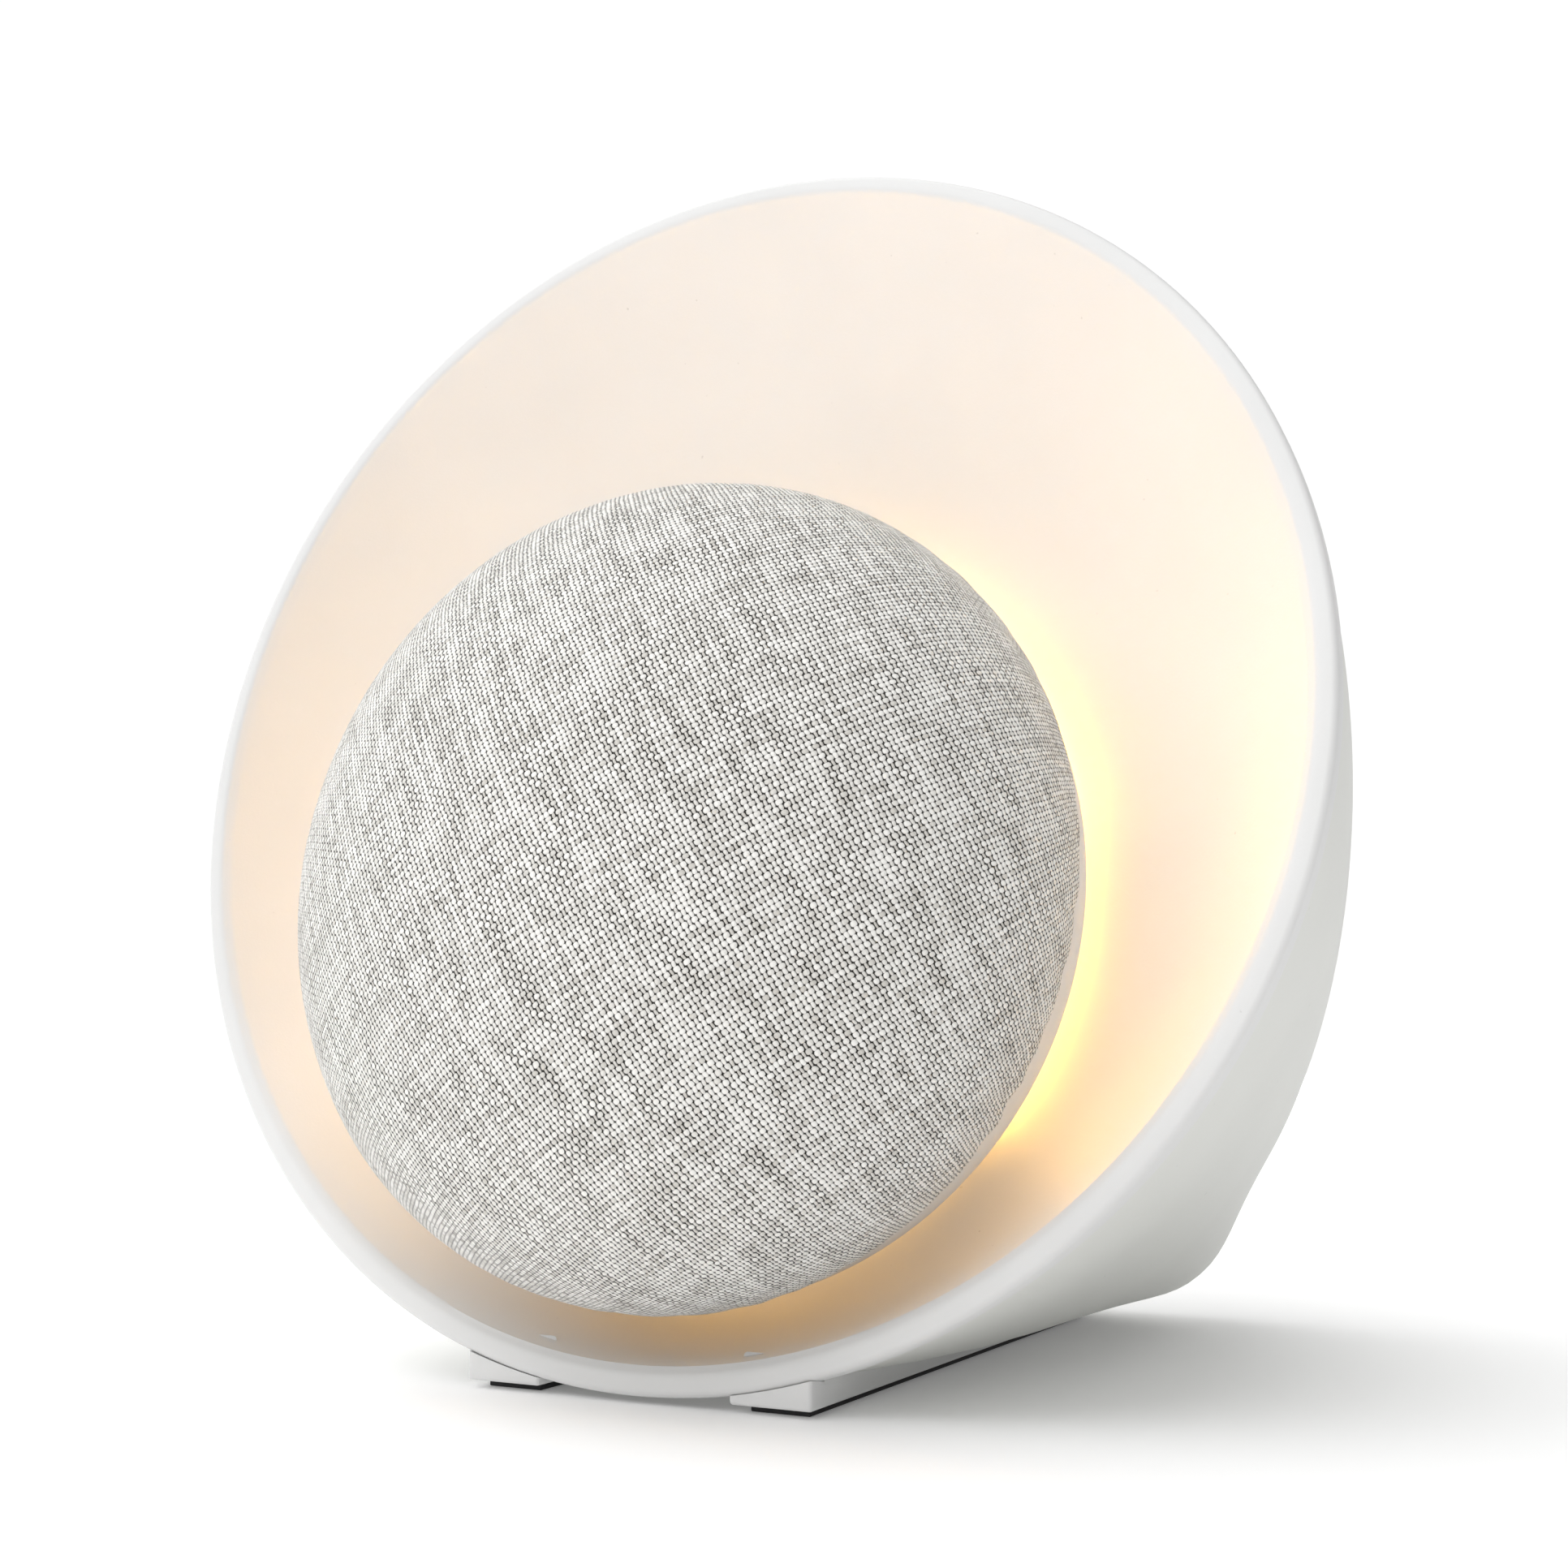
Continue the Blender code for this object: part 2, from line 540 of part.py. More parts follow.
def controls():
    """Press button and mute slider, each with its switch on the board behind it."""
    rear = BOARD_BACK_Y + GAP
    cover = BACK_INNER_Y - GAP - COVER_THICK
    stem_end = cover - COVER_THICK
    switch_top = stem_end - BUTTON_TRAVEL - GAP
    button_switch = box("button_switch", (SWITCH_SIZE, switch_top - rear, SWITCH_SIZE),
                        (-CONTROL_X, (rear + switch_top) / 2, CONTROL_Z))
    finish(button_switch, (0.05, 0.05, 0.05), 0.5)
    crown = BACK_Y + BUTTON_PROUD
    place = Matrix.Translation((-CONTROL_X, cover, CONTROL_Z)) @ Matrix.Rotation(-math.pi / 2, 4, "X")
    profile = [(0.0, crown - cover), (BUTTON_RADIUS - 0.0006, crown - cover),
               (BUTTON_RADIUS, crown - cover - 0.0004), (BUTTON_RADIUS, COVER_THICK),
               (BUTTON_RADIUS + BUTTON_FLANGE, COVER_THICK), (BUTTON_RADIUS + BUTTON_FLANGE, 0.0),
               (BUTTON_STEM, 0.0), (BUTTON_STEM, stem_end - cover), (0.0, stem_end - cover)]
    button = turned("power_button", profile, place, 32, closed=False)
    finish(button, (0.84, 0.84, 0.83), 0.4)

    slide_top = cover - GAP
    slide_switch = box("mute_switch", (MUTE_SWITCH_WIDTH, slide_top - rear, MUTE_SWITCH_HEIGHT),
                       (CONTROL_X, (rear + slide_top) / 2, CONTROL_Z))
    finish(slide_switch, (0.05, 0.05, 0.05), 0.5)
    tip = BACK_Y + BUTTON_PROUD * 0.5
    rest_x = CONTROL_X - SLIDER_TRAVEL / 2
    knob = box("mute_slider", (SLIDER_WIDTH, tip - cover - GAP, SLIDER_HEIGHT),
               (rest_x, (tip + cover + GAP) / 2, CONTROL_Z))
    cover_size = (SLIDER_WIDTH + 2 * (SLIDER_TRAVEL + SLIDER_COVER), COVER_THICK,
                  SLIDER_HEIGHT + 2 * SLIDER_COVER)
    plate = box("slider_plate", cover_size, (rest_x, cover + COVER_THICK / 2, CONTROL_Z))
    boolean(knob, as_cutter(plate), "UNION")
    finish(knob, (0.85, 0.35, 0.10), 0.45)


def wire_harness():
    """Bundle from the pod's back to the power board, along a smooth cubic."""
    start = POD_FRAME @ Vector((0.0, 0.0, -POD_BACK - GAP * 2))
    leave = POD_FRAME @ Vector((0.0, 0.0, -POD_BACK - HARNESS_LEAVE))
    end = Vector((0.0, BOARD_FRONT_Y - GAP * 2, BOARD_LOW + BOARD_HEIGHT - 0.010))
    arrive = end + Vector((0.0, -HARNESS_ARRIVE, 0.0))
    curve = bpy.data.curves.new("wire_harness", "CURVE")
    curve.dimensions = "3D"
    curve.bevel_depth = HARNESS_RADIUS
    curve.bevel_resolution = 2
    curve.use_fill_caps = True
    spline = curve.splines.new("POLY")
    spline.points.add(HARNESS_POINTS - 1)
    for i in range(HARNESS_POINTS):
        t = i / (HARNESS_POINTS - 1)
        point = ((1 - t) ** 3 * start + 3 * (1 - t) ** 2 * t * leave
                 + 3 * (1 - t) * t ** 2 * arrive + t ** 3 * end)
        spline.points[i].co = (*point, 1.0)
    obj = bpy.data.objects.new("wire_harness", curve)
    bpy.context.scene.collection.objects.link(obj)
    finish(obj, (0.04, 0.04, 0.04), 0.6)


# ---------------------------------------------------------------- light ring and mount
def light_parts():
    light = [(LIGHT_OUTER, -DISH_DEPTH), (LIGHT_OUTER, -DISH_DEPTH - LIGHT_THICK),
             (LIGHT_INNER, -DISH_DEPTH - LIGHT_THICK), (LIGHT_INNER, -DISH_DEPTH)]
    finish(turned("light_ring", light, steps=POD_STEPS), (0.95, 0.88, 0.72), 0.35)
    outer = HOLE_RADIUS + RING_OVERLAP
    led = [(outer, -LED_FRONT), (outer, -LED_BACK), (LIGHT_INNER, -LED_BACK), (LIGHT_INNER, -LED_FRONT)]
    finish(turned("led_board", led, steps=POD_STEPS), (0.85, 0.85, 0.82), 0.5)


def screw_places():
    reach = HOLE_RADIUS + RING_OVERLAP - RING_WIDTH + 0.0060
    return [(reach * math.cos(math.radians(angle)), reach * math.sin(math.radians(angle)))
            for angle in (90, 210, 330)]


def pod_mount_ring():
    """Ring plate that the pod's base is screwed to, with a raised land that carries the LED board."""
    outer = HOLE_RADIUS + RING_OVERLAP
    inner = outer - RING_WIDTH
    land = LIGHT_INNER + GAP
    ring = turned("pod_mount_ring", [(outer, -LED_BACK - GAP), (outer, -RING_BACK), (inner, -RING_BACK),
                                     (inner, -RING_FRONT), (land, -RING_FRONT),
                                     (land, -LED_BACK - GAP)], steps=DRIVER_STEPS)
    boolean(ring, screw_holes("ring_holes"))
    finish(ring, (0.82, 0.82, 0.80), 0.5)
    shank_end = RING_BACK - POD_BACK + BASE_WALL
    profile = [(0.0, SCREW_HEAD_THICK), (SCREW_HEAD + 0.0004, SCREW_HEAD_THICK),
               (SCREW_HEAD + 0.0004, 0.0), (SCREW_SHANK, 0.0), (SCREW_SHANK, -shank_end),
               (0.0, -shank_end)]
    for number, (x, y) in enumerate(screw_places(), 1):
        place = POD_FRAME @ Matrix.Translation((x, y, -RING_BACK - GAP)) @ Matrix.Rotation(math.pi, 4, "X")
        screw = turned("pod_screw_%d" % number, profile, place, 12, closed=False)
        finish(screw, (0.55, 0.55, 0.56), 0.35, 1.0)


def screw_holes(name):
    bm = bmesh.new()
    for x, y in screw_places():
        add_rod(bm, SCREW_SHANK + GAP, (x, y, -RING_BACK - 0.002), (x, y, -POD_BACK + BASE_WALL + 0.002), 12)
    return as_cutter(from_bmesh(name, bm, POD_FRAME))


# ---------------------------------------------------------------- pod housing
def pod_base():
    """White cup behind the fabric that narrows to the neck inside the light ring."""
    top_radius = POD_RADIUS - 0.0010
    flank = [(top_radius, -BASE_TOP)]
    for i in range(1, 5):
        angle = math.radians(90 * i / 4)
        flank.append((NECK_RADIUS + (top_radius - NECK_RADIUS) * (1.0 - math.sin(angle)) ** 0.8,
                      -BASE_TOP - (DISH_DEPTH - BASE_TOP) * (1.0 - math.cos(angle))))
    inner = [(radius - BASE_WALL, height) for radius, height in flank]
    floor = -POD_BACK + BASE_WALL
    profile = [(0.0, floor), (NECK_RADIUS - BASE_WALL, floor)] + inner[::-1] + flank
    profile += [(NECK_RADIUS, -POD_BACK), (0.0, -POD_BACK)]
    base = turned("pod_base", profile, steps=POD_STEPS, closed=False)
    boolean(base, screw_holes("base_holes"))
    finish(base, (0.85, 0.84, 0.82), 0.45)


def fabric_cover():
    outer = pod_curve(POD_RADIUS, POD_BULGE, POD_POINTS)
    inner = pod_curve(POD_RADIUS - FABRIC, POD_BULGE - FABRIC, POD_POINTS)
    hem = POD_RADIUS - FABRIC / 2
    profile = outer + [(hem, -SKIRT_DEPTH), (hem - FABRIC, -SKIRT_DEPTH)] + inner[::-1]
    cover = turned("fabric_cover", profile, steps=POD_STEPS, closed=False)
    finish(cover, (0.62, 0.58, 0.52), 0.95)


def grille_dome():
    """Perforated dome under the fabric."""
    radius = POD_RADIUS - FABRIC - GAP
    bulge = POD_BULGE - FABRIC - GAP
    outer = pod_curve(radius, bulge, POD_POINTS)
    inner = pod_curve(radius - GRILLE_WALL, bulge - GRILLE_WALL, 7)
    hem = radius - FABRIC / 2 - GAP
    profile = outer + [(hem, -SKIRT_DEPTH), (hem - GRILLE_WALL, -SKIRT_DEPTH)] + inner[::-1]
    dome = turned("grille_dome", profile, steps=POD_STEPS, closed=False)
    bm = bmesh.new()
    add_rod(bm, GRILLE_HOLE, (0.0, 0.0, bulge / 2), (0.0, 0.0, bulge + 0.01), 8)
    for row, count in enumerate((6, 12), 1):
        reach = radius * 0.24 * row
        for i in range(count):
            angle = math.tau * (i + row * 0.5) / count
            x, y = reach * math.cos(angle), reach * math.sin(angle)
            add_rod(bm, GRILLE_HOLE, (x, y, bulge / 3), (x, y, bulge + 0.01), 8)
    boolean(dome, as_cutter(from_bmesh("grille_holes", bm, POD_FRAME)))
    finish(dome, (0.10, 0.10, 0.10), 0.6)


def driver_carrier():
    """Inner tub that holds the loudspeaker forward of the boards."""
    shelf_top = DRIVER_FRONT - FLANGE_THICK - GAP
    shelf_low = shelf_top - CARRIER_WALL
    inside = POD_RADIUS - FABRIC - GAP - GRILLE_WALL
    bulge = POD_BULGE - FABRIC - GAP - GRILLE_WALL
    brim = pod_width(inside, bulge, shelf_top) - 2 * GAP
    tub = NECK_RADIUS - BASE_WALL - 2 * GAP
    foot = -POD_BACK + BASE_WALL + GAP
    mouth = DRIVER_RADIUS - 0.0028
    profile = [(brim, shelf_top), (brim, shelf_low), (tub, shelf_low), (tub, foot),
               (tub - CARRIER_WALL, foot), (tub - CARRIER_WALL, shelf_low), (mouth, shelf_low),
               (mouth, shelf_top)]
    finish(turned("driver_carrier", profile, steps=DRIVER_STEPS), (0.12, 0.12, 0.12), 0.55)


def pod_boards():
    """Main board with its shield, heat spreader, microphones and the status light bridge."""
    reach = NECK_RADIUS - BASE_WALL - 4 * GAP - CARRIER_WALL
    board_top = -DRIVER_BACK - 0.0018
    board_low = board_top - BOARD_THICK
    profile = [(0.0, board_top), (reach, board_top), (reach, board_low), (0.0, board_low)]
    finish(turned("main_board", profile, steps=DRIVER_STEPS, closed=False), (0.04, 0.20, 0.09), 0.5)
    shield_low = board_low - GAP - 0.0012
    shield = box("processor_shield", (0.0150, 0.0150, 0.0012),
                 (0.0090, 0.0, shield_low + 0.0006), POD_FRAME)
    finish(shield, (0.70, 0.70, 0.72), 0.35, 1.0)
    plate_top = shield_low - GAP
    plate_low = -POD_BACK + BASE_WALL + GAP
    profile = [(0.0, plate_top), (reach - 0.003, plate_top), (reach - 0.003, plate_low), (0.0, plate_low)]
    finish(turned("heat_spreader", profile, steps=DRIVER_STEPS, closed=False), (0.75, 0.75, 0.76), 0.4, 1.0)

    shelf = DRIVER_FRONT - FLANGE_THICK
    capsule = [(0.0, 0.0012), (0.0020, 0.0012), (0.0020, 0.0), (0.0, 0.0)]
    for side, name in ((-1, "left"), (1, "right")):
        place = POD_FRAME @ Matrix.Translation((side * (DRIVER_RADIUS + 0.0110), 0.0, shelf))
        mic = turned("microphone_" + name, capsule, place, 16, closed=False)
        finish(mic, (0.72, 0.66, 0.42), 0.35, 0.8)

    span = DRIVER_RADIUS + 0.0050
    rise = DRIVER_FRONT + 0.0050
    bridge = bpy.data.curves.new("status_light_bridge", "CURVE")
    bridge.dimensions = "2D"
    bridge.fill_mode = "BOTH"
    bridge.extrude = 0.0020
    spline = bridge.splines.new("POLY")
    leg = 0.0020
    outline = [(-span - leg, shelf), (-span, shelf), (-span, rise - 0.0014), (span, rise - 0.0014),
               (span, shelf), (span + leg, shelf), (span + leg, rise), (-span - leg, rise)]
    spline.points.add(len(outline) - 1)
    for point, (x, z) in zip(spline.points, outline):
        point.co = (x, z, 0.0, 1.0)
    spline.use_cyclic_u = True
    obj = bpy.data.objects.new("status_light_bridge", bridge)
    bpy.context.scene.collection.objects.link(obj)
    obj.matrix_world = POD_FRAME @ Matrix.Rotation(math.pi / 2, 4, "X")
    finish(obj, (0.80, 0.80, 0.80), 0.5)


# ---------------------------------------------------------------- loudspeaker
def loudspeaker():
    """Forty-millimetre driver: motor, basket, and the moving cone with its suspensions."""
    seat = DRIVER_FRONT - FLANGE_THICK
    yoke_low = -DRIVER_BACK
    yoke_top = yoke_low + 0.0019
    magnet_low = yoke_top + GAP
    plate_low = -0.0005
    plate_top = 0.0013
    gap_outer = COIL_RADIUS + COIL_WALL + 0.0004
    frame_low = plate_top + GAP
    frame_top = frame_low + FLANGE_THICK

    yoke = [(0.0, plate_top), (POLE_RADIUS, plate_top), (POLE_RADIUS, yoke_top),
            (MAGNET_RADIUS + 0.0002, yoke_top), (MAGNET_RADIUS + 0.0002, yoke_low), (0.0, yoke_low)]
    finish(turned("driver_yoke", yoke, closed=False), (0.55, 0.55, 0.57), 0.35, 1.0)
    magnet = [(MAGNET_RADIUS, plate_low - GAP), (MAGNET_RADIUS, magnet_low),
              (gap_outer + 0.0009, magnet_low), (gap_outer + 0.0009, plate_low - GAP)]
    finish(turned("driver_magnet", magnet), (0.07, 0.07, 0.07), 0.6)
    top_plate = [(MAGNET_RADIUS - 0.0003, plate_top), (MAGNET_RADIUS - 0.0003, plate_low),
                 (gap_outer, plate_low), (gap_outer, plate_top)]
    finish(turned("driver_top_plate", top_plate), (0.55, 0.55, 0.57), 0.35, 1.0)

    foot = MAGNET_RADIUS + 0.0012
    throat = DRIVER_RADIUS - 0.0044
    basket = [(DRIVER_RADIUS, DRIVER_FRONT), (DRIVER_RADIUS, seat), (throat + 0.0012, seat),
              (foot + 0.0002, frame_low + 0.0010), (foot, frame_low), (gap_outer + 0.0017, frame_low),
              (gap_outer + 0.0017, frame_top), (foot - 0.0008, frame_top), (throat, DRIVER_FRONT)]
    frame = turned("driver_basket", basket, steps=DRIVER_STEPS)
    bm = bmesh.new()
    window_height = (seat - frame_top) * 0.6
    middle = (seat + frame_top) / 2
    for angle in (0, 90):
        made = bmesh.ops.create_cube(bm, size=1.0)["verts"]
        bmesh.ops.scale(bm, vec=(3 * DRIVER_RADIUS, 0.0110, window_height), verts=made)
        turn = Matrix.Rotation(math.radians(45 + angle), 4, "Z")
        bmesh.ops.transform(bm, matrix=Matrix.Translation((0, 0, middle)) @ turn, verts=made)
    union = from_bmesh("basket_windows", bm, POD_FRAME)
    boolean(frame, as_cutter(union))
    finish(frame, (0.20, 0.20, 0.21), 0.45, 0.8)

    former_top = 0.0062
    coil = [(COIL_RADIUS + COIL_WALL, former_top), (COIL_RADIUS + COIL_WALL, -0.0025),
            (COIL_RADIUS, -0.0025), (COIL_RADIUS, former_top)]
    finish(turned("voice_coil", coil), (0.72, 0.40, 0.22), 0.4, 0.7)
    neck = COIL_RADIUS + COIL_WALL + GAP
    rim = throat - 0.0021
    cone_low = former_top - 0.0012
    cone_top = DRIVER_FRONT
    cone = [(rim, cone_top), (neck + CONE_WALL, cone_low), (neck, cone_low), (rim - CONE_WALL, cone_top)]
    finish(turned("driver_cone", cone, steps=DRIVER_STEPS), (0.06, 0.06, 0.06), 0.7)
    cap_radius = COIL_RADIUS - GAP / 2
    cap_low = former_top + GAP
    rise = 0.0020
    outer = [(cap_radius * math.sin(a), cap_low + 0.0005 + rise * math.cos(a))
             for a in (math.radians(90 * i / 5) for i in range(6))]
    inner = [(0.92 * radius, cap_low + (height - cap_low) * 0.75) for radius, height in outer[:-1]]
    profile = outer + [(cap_radius, cap_low), (0.92 * cap_radius, cap_low)] + inner[::-1]
    finish(turned("dust_cap", profile, closed=False), (0.06, 0.06, 0.06), 0.5)

    sheet = 0.0005
    roll_in = rim + GAP
    roll_out = DRIVER_RADIUS - 0.0026
    centre = (roll_in + roll_out) / 2
    reach = (roll_out - roll_in) / 2
    low = DRIVER_FRONT + GAP
    over = arc((centre, low + sheet), reach + sheet / 2, 0, 180, 6)
    under = arc((centre, low), reach - sheet / 2, 180, 0, 6)
    profile = ([(DRIVER_RADIUS - GAP, low + sheet), (DRIVER_RADIUS - GAP, low)] + under[::-1]
               + [(rim - 0.0010, low), (rim - 0.0010, low + sheet)] + over[::-1])
    finish(turned("surround", profile, steps=DRIVER_STEPS), (0.04, 0.04, 0.04), 0.85)
    spider_inner = neck + GAP
    spider_outer = foot - 0.0008 - GAP
    middle = frame_top + 0.0011
    waves = 8
    wavy = [(spider_inner + (spider_outer - spider_inner) * i / waves,
             middle + 0.0003 * math.sin(math.pi * i / 2)) for i in range(waves + 1)]
    profile = [(radius, height + sheet) for radius, height in reversed(wavy)]
    profile = profile[:1] + wavy[::-1] + profile[:0:-1]
    finish(turned("spider", profile), (0.75, 0.60, 0.30), 0.9)
    gasket = [(DRIVER_RADIUS, low + sheet + GAP + 0.0010), (DRIVER_RADIUS, low + sheet + GAP),
              (roll_out + 0.0008, low + sheet + GAP), (roll_out + 0.0008, low + sheet + GAP + 0.0010)]
    finish(turned("driver_gasket", gasket, steps=DRIVER_STEPS), (0.03, 0.03, 0.03), 0.9)


def lamp_base():
    """Parent everything to an empty that puts the origin under the middle of the object."""
    reach = max(radius * math.sin(LEAN) + height * math.cos(LEAN)
                for radius, height in pod_curve(POD_RADIUS, POD_BULGE, POD_POINTS))
    front = POD_FRAME.translation.y - reach
    base = bpy.data.objects.new("lamp_base", None)
    base.location.y = -(front + BACK_Y + BUTTON_PROUD) / 2
    bpy.context.scene.collection.objects.link(base)
    for piece in list(parts.objects) + list(cutters.objects):
        piece.parent = base


reflector_bowl()
rear_shell()
feet()
ballast_block()
power_board()
board_parts()
controls()
wire_harness()
light_parts()
pod_mount_ring()
pod_base()
fabric_cover()
grille_dome()
driver_carrier()
pod_boards()
loudspeaker()
lamp_base()
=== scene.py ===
import json
import math

import bmesh
import bpy
import numpy as np
from mathutils import Matrix, Vector


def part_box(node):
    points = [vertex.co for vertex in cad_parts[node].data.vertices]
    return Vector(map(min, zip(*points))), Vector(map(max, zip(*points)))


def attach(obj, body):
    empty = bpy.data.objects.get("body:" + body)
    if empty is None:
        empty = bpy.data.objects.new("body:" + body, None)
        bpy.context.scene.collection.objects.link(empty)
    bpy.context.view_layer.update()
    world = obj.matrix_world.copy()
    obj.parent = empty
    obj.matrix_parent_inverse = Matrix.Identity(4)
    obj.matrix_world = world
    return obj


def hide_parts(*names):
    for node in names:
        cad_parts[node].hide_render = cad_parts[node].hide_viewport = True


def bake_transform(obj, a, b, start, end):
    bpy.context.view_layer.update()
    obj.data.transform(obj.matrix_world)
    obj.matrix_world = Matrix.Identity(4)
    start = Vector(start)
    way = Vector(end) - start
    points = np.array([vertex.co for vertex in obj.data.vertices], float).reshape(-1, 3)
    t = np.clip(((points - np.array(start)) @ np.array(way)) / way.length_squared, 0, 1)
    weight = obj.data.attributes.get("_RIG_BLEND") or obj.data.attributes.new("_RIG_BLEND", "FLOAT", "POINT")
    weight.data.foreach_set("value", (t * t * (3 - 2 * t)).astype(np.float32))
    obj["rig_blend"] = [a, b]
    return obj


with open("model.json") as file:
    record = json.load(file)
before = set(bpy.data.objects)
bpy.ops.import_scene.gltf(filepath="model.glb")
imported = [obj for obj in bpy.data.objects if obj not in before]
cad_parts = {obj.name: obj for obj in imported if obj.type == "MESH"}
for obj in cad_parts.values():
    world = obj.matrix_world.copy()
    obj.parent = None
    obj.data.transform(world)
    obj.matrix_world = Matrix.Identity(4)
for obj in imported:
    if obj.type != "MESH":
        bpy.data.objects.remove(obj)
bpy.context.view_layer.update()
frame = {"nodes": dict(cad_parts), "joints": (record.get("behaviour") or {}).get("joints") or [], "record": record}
nodes = frame["nodes"]
print("frame loaded:", len(nodes), "nodes")


# ---- camera
view = {
    "place": (0.110660, -0.219197, 0.036135),
    "turn": (1.7485, -0.0029, 0.4797),
    "lens": 42.399,
    "shift": (0.006755, -0.031314),
    "nearest": 0.01,
}
cameraData = bpy.data.cameras.new("camera")
cameraData.lens = view["lens"]
cameraData.sensor_width = 36.0
cameraData.shift_x, cameraData.shift_y = view["shift"]
cameraData.clip_start = view["nearest"]
camera = bpy.data.objects.new("camera", cameraData)
camera.location = view["place"]
camera.rotation_euler = view["turn"]
bpy.context.scene.collection.objects.link(camera)
bpy.context.scene.camera = camera


# ---- sizes of the moulded pieces, in metres
clear = 0.0003      # gap between neighbouring pieces
bowl = {"lipRound": 0.0008, "lipDepth": 0.0030, "rimFlat": 0.0029, "innerEdge": 0.0016,
        "depth": 0.0150, "crown": 2.2, "wall": 0.0023, "lipBack": 0.0004, "spigotGap": 0.0010,
        "spigotDepth": 0.0033, "rowPower": 1.25, "steps": 256, "rows": 36}
shell = {"seamStep": 0.0006, "seamGap": 0.0003, "wall": 0.0022, "depth": 0.0816, "taper": 0.0182,
         "taperPower": 1.45, "drop": 0.0214, "dropPower": 1.2, "backRound": 0.0100,
         "heel": 0.0038, "heelAngle": math.radians(38.0), "heelSpread": math.radians(10.0),
         "heelStart": 0.3, "heelFull": 0.9, "underside": 0.0036, "fall": 0.034,
         "floorStart": 0.0163, "floorWall": 0.0027, "almostBack": 0.98, "crownFrom": 0.05,
         "crownSpan": 0.7, "backSteps": 12, "steps": 224, "rows": 22}
pod = {"bulge": 0.0324, "power": 2.1, "skirt": 0.0032, "tuck": 0.0016, "lightThick": 0.0020,
       "lightWidth": 0.0022, "lightEdge": 0.0003, "hemInset": 0.0001, "hemWidth": 0.0008, "points": 400}

joints = {joint["name"]: joint for joint in frame["joints"]}
forward = Vector(joints["cone_travel"]["axis"]).normalized()
across = Vector((1.0, 0.0, 0.0))
upward = forward.cross(across)
lean = math.asin(upward.y)

bowlLow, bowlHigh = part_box("reflector_bowl")
rimRadius = (bowlHigh.x - bowlLow.x) / 2
rimCentre = Vector((0.0, bowlLow.y + upward.y * (rimRadius - bowl["lipRound"]),
                    bowlHigh.z - upward.z * rimRadius + forward.z * bowl["lipRound"]))
lightLow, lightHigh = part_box("light_ring")
podCentre = (lightLow + lightHigh) / 2 + forward * (bowl["depth"] + pod["lightThick"] / 2)
podDrop = (rimCentre - podCentre).dot(upward)
lightOuter = (lightHigh.x - lightLow.x) / 2
holeRadius = lightOuter + clear
dishRadius = rimRadius - bowl["rimFlat"] - clear
coverLow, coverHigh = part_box("fabric_cover")
podRadius = (coverHigh.x - coverLow.x) / 2
seamShare = (bowl["lipDepth"] + shell["seamGap"]) / shell["depth"]


def placeOf(centre):
    # x to the right, y up along the lean, z forward
    return Matrix.Translation(centre) @ Matrix((across, upward, forward)).transposed().to_4x4()


rimPlace = placeOf(rimCentre)
podPlace = placeOf(podCentre)


# ---- mesh helpers
def newPiece(name, mesh):
    piece = bpy.data.objects.new(name, mesh)
    bpy.context.scene.collection.objects.link(piece)
    return piece


def smoothed(mesh, sharp):
    mesh.shade_smooth()
    mesh.set_sharp_from_angle(angle=math.radians(sharp))


def loft(name, rings, wrap=False, capped=False, sharp=35.0):
    # skins rings of equal length; capped closes the first and the last
    count = len(rings[0])
    points = [tuple(point) for ring in rings for point in ring]
    pairs = list(zip(range(len(rings) - 1), range(1, len(rings))))
    if wrap:
        pairs.append((len(rings) - 1, 0))
    faces = []
    for near, far in pairs:
        for i in range(count):
            j = (i + 1) % count
            faces.append((near * count + i, near * count + j, far * count + j, far * count + i))
    if capped:
        faces.append(tuple(range(count)))
        faces.append(tuple(range((len(rings) - 1) * count, len(rings) * count)))
    mesh = bpy.data.meshes.new(name)
    mesh.from_pydata(points, [], faces)
    body = bmesh.new()
    body.from_mesh(mesh)
    bmesh.ops.recalc_face_normals(body, faces=body.faces)
    body.to_mesh(mesh)
    body.free()
    smoothed(mesh, sharp)
    return newPiece(name, mesh)


def circle(place, radius, height, steps, rise=0.0):
    # ring in the plane of a placed frame; rise moves it along the frame's up direction
    ring = []
    for i in range(steps):
        angle = math.tau * i / steps
        ring.append(place @ Vector((radius * math.sin(angle), radius * math.cos(angle) + rise, height)))
    return ring


def turned(name, profile, steps=160):
    # a closed outline turned about the pod's axis
    return loft(name, [circle(podPlace, radius, height, steps) for radius, height in profile], wrap=True)


def corner(centre, radius, start, end, steps):
    # arc points, angles in degrees
    turns = [math.radians(start + (end - start) * i / steps) for i in range(steps + 1)]
    return [(centre[0] + radius * math.cos(turn), centre[1] + radius * math.sin(turn)) for turn in turns]


def eased(share):
    # slow at both ends, for a number or an array from 0 to 1
    return share * share * (3.0 - 2.0 * share)


def settle(piece):
    # the evaluated mesh takes the place of the mesh and its modifiers
    bpy.context.view_layer.update()
    graph = bpy.context.evaluated_depsgraph_get()
    mesh = bpy.data.meshes.new_from_object(piece.evaluated_get(graph))
    piece.modifiers.clear()
    piece.data = mesh
    return piece


def cut(piece, tools):
    for tool in tools:
        modifier = piece.modifiers.new(tool.name, "BOOLEAN")
        modifier.operation = "DIFFERENCE"
        modifier.object = tool
        modifier.solver = "EXACT"
    settle(piece)
    for tool in tools:
        bpy.data.objects.remove(tool)
    smoothed(piece.data, 35.0)
    return piece


# ---- node helpers for the finishes
def newFinish(name):
    material = bpy.data.materials.new(name)
    material.use_nodes = True
    tree = material.node_tree
    return material, tree, tree.nodes["Principled BSDF"]


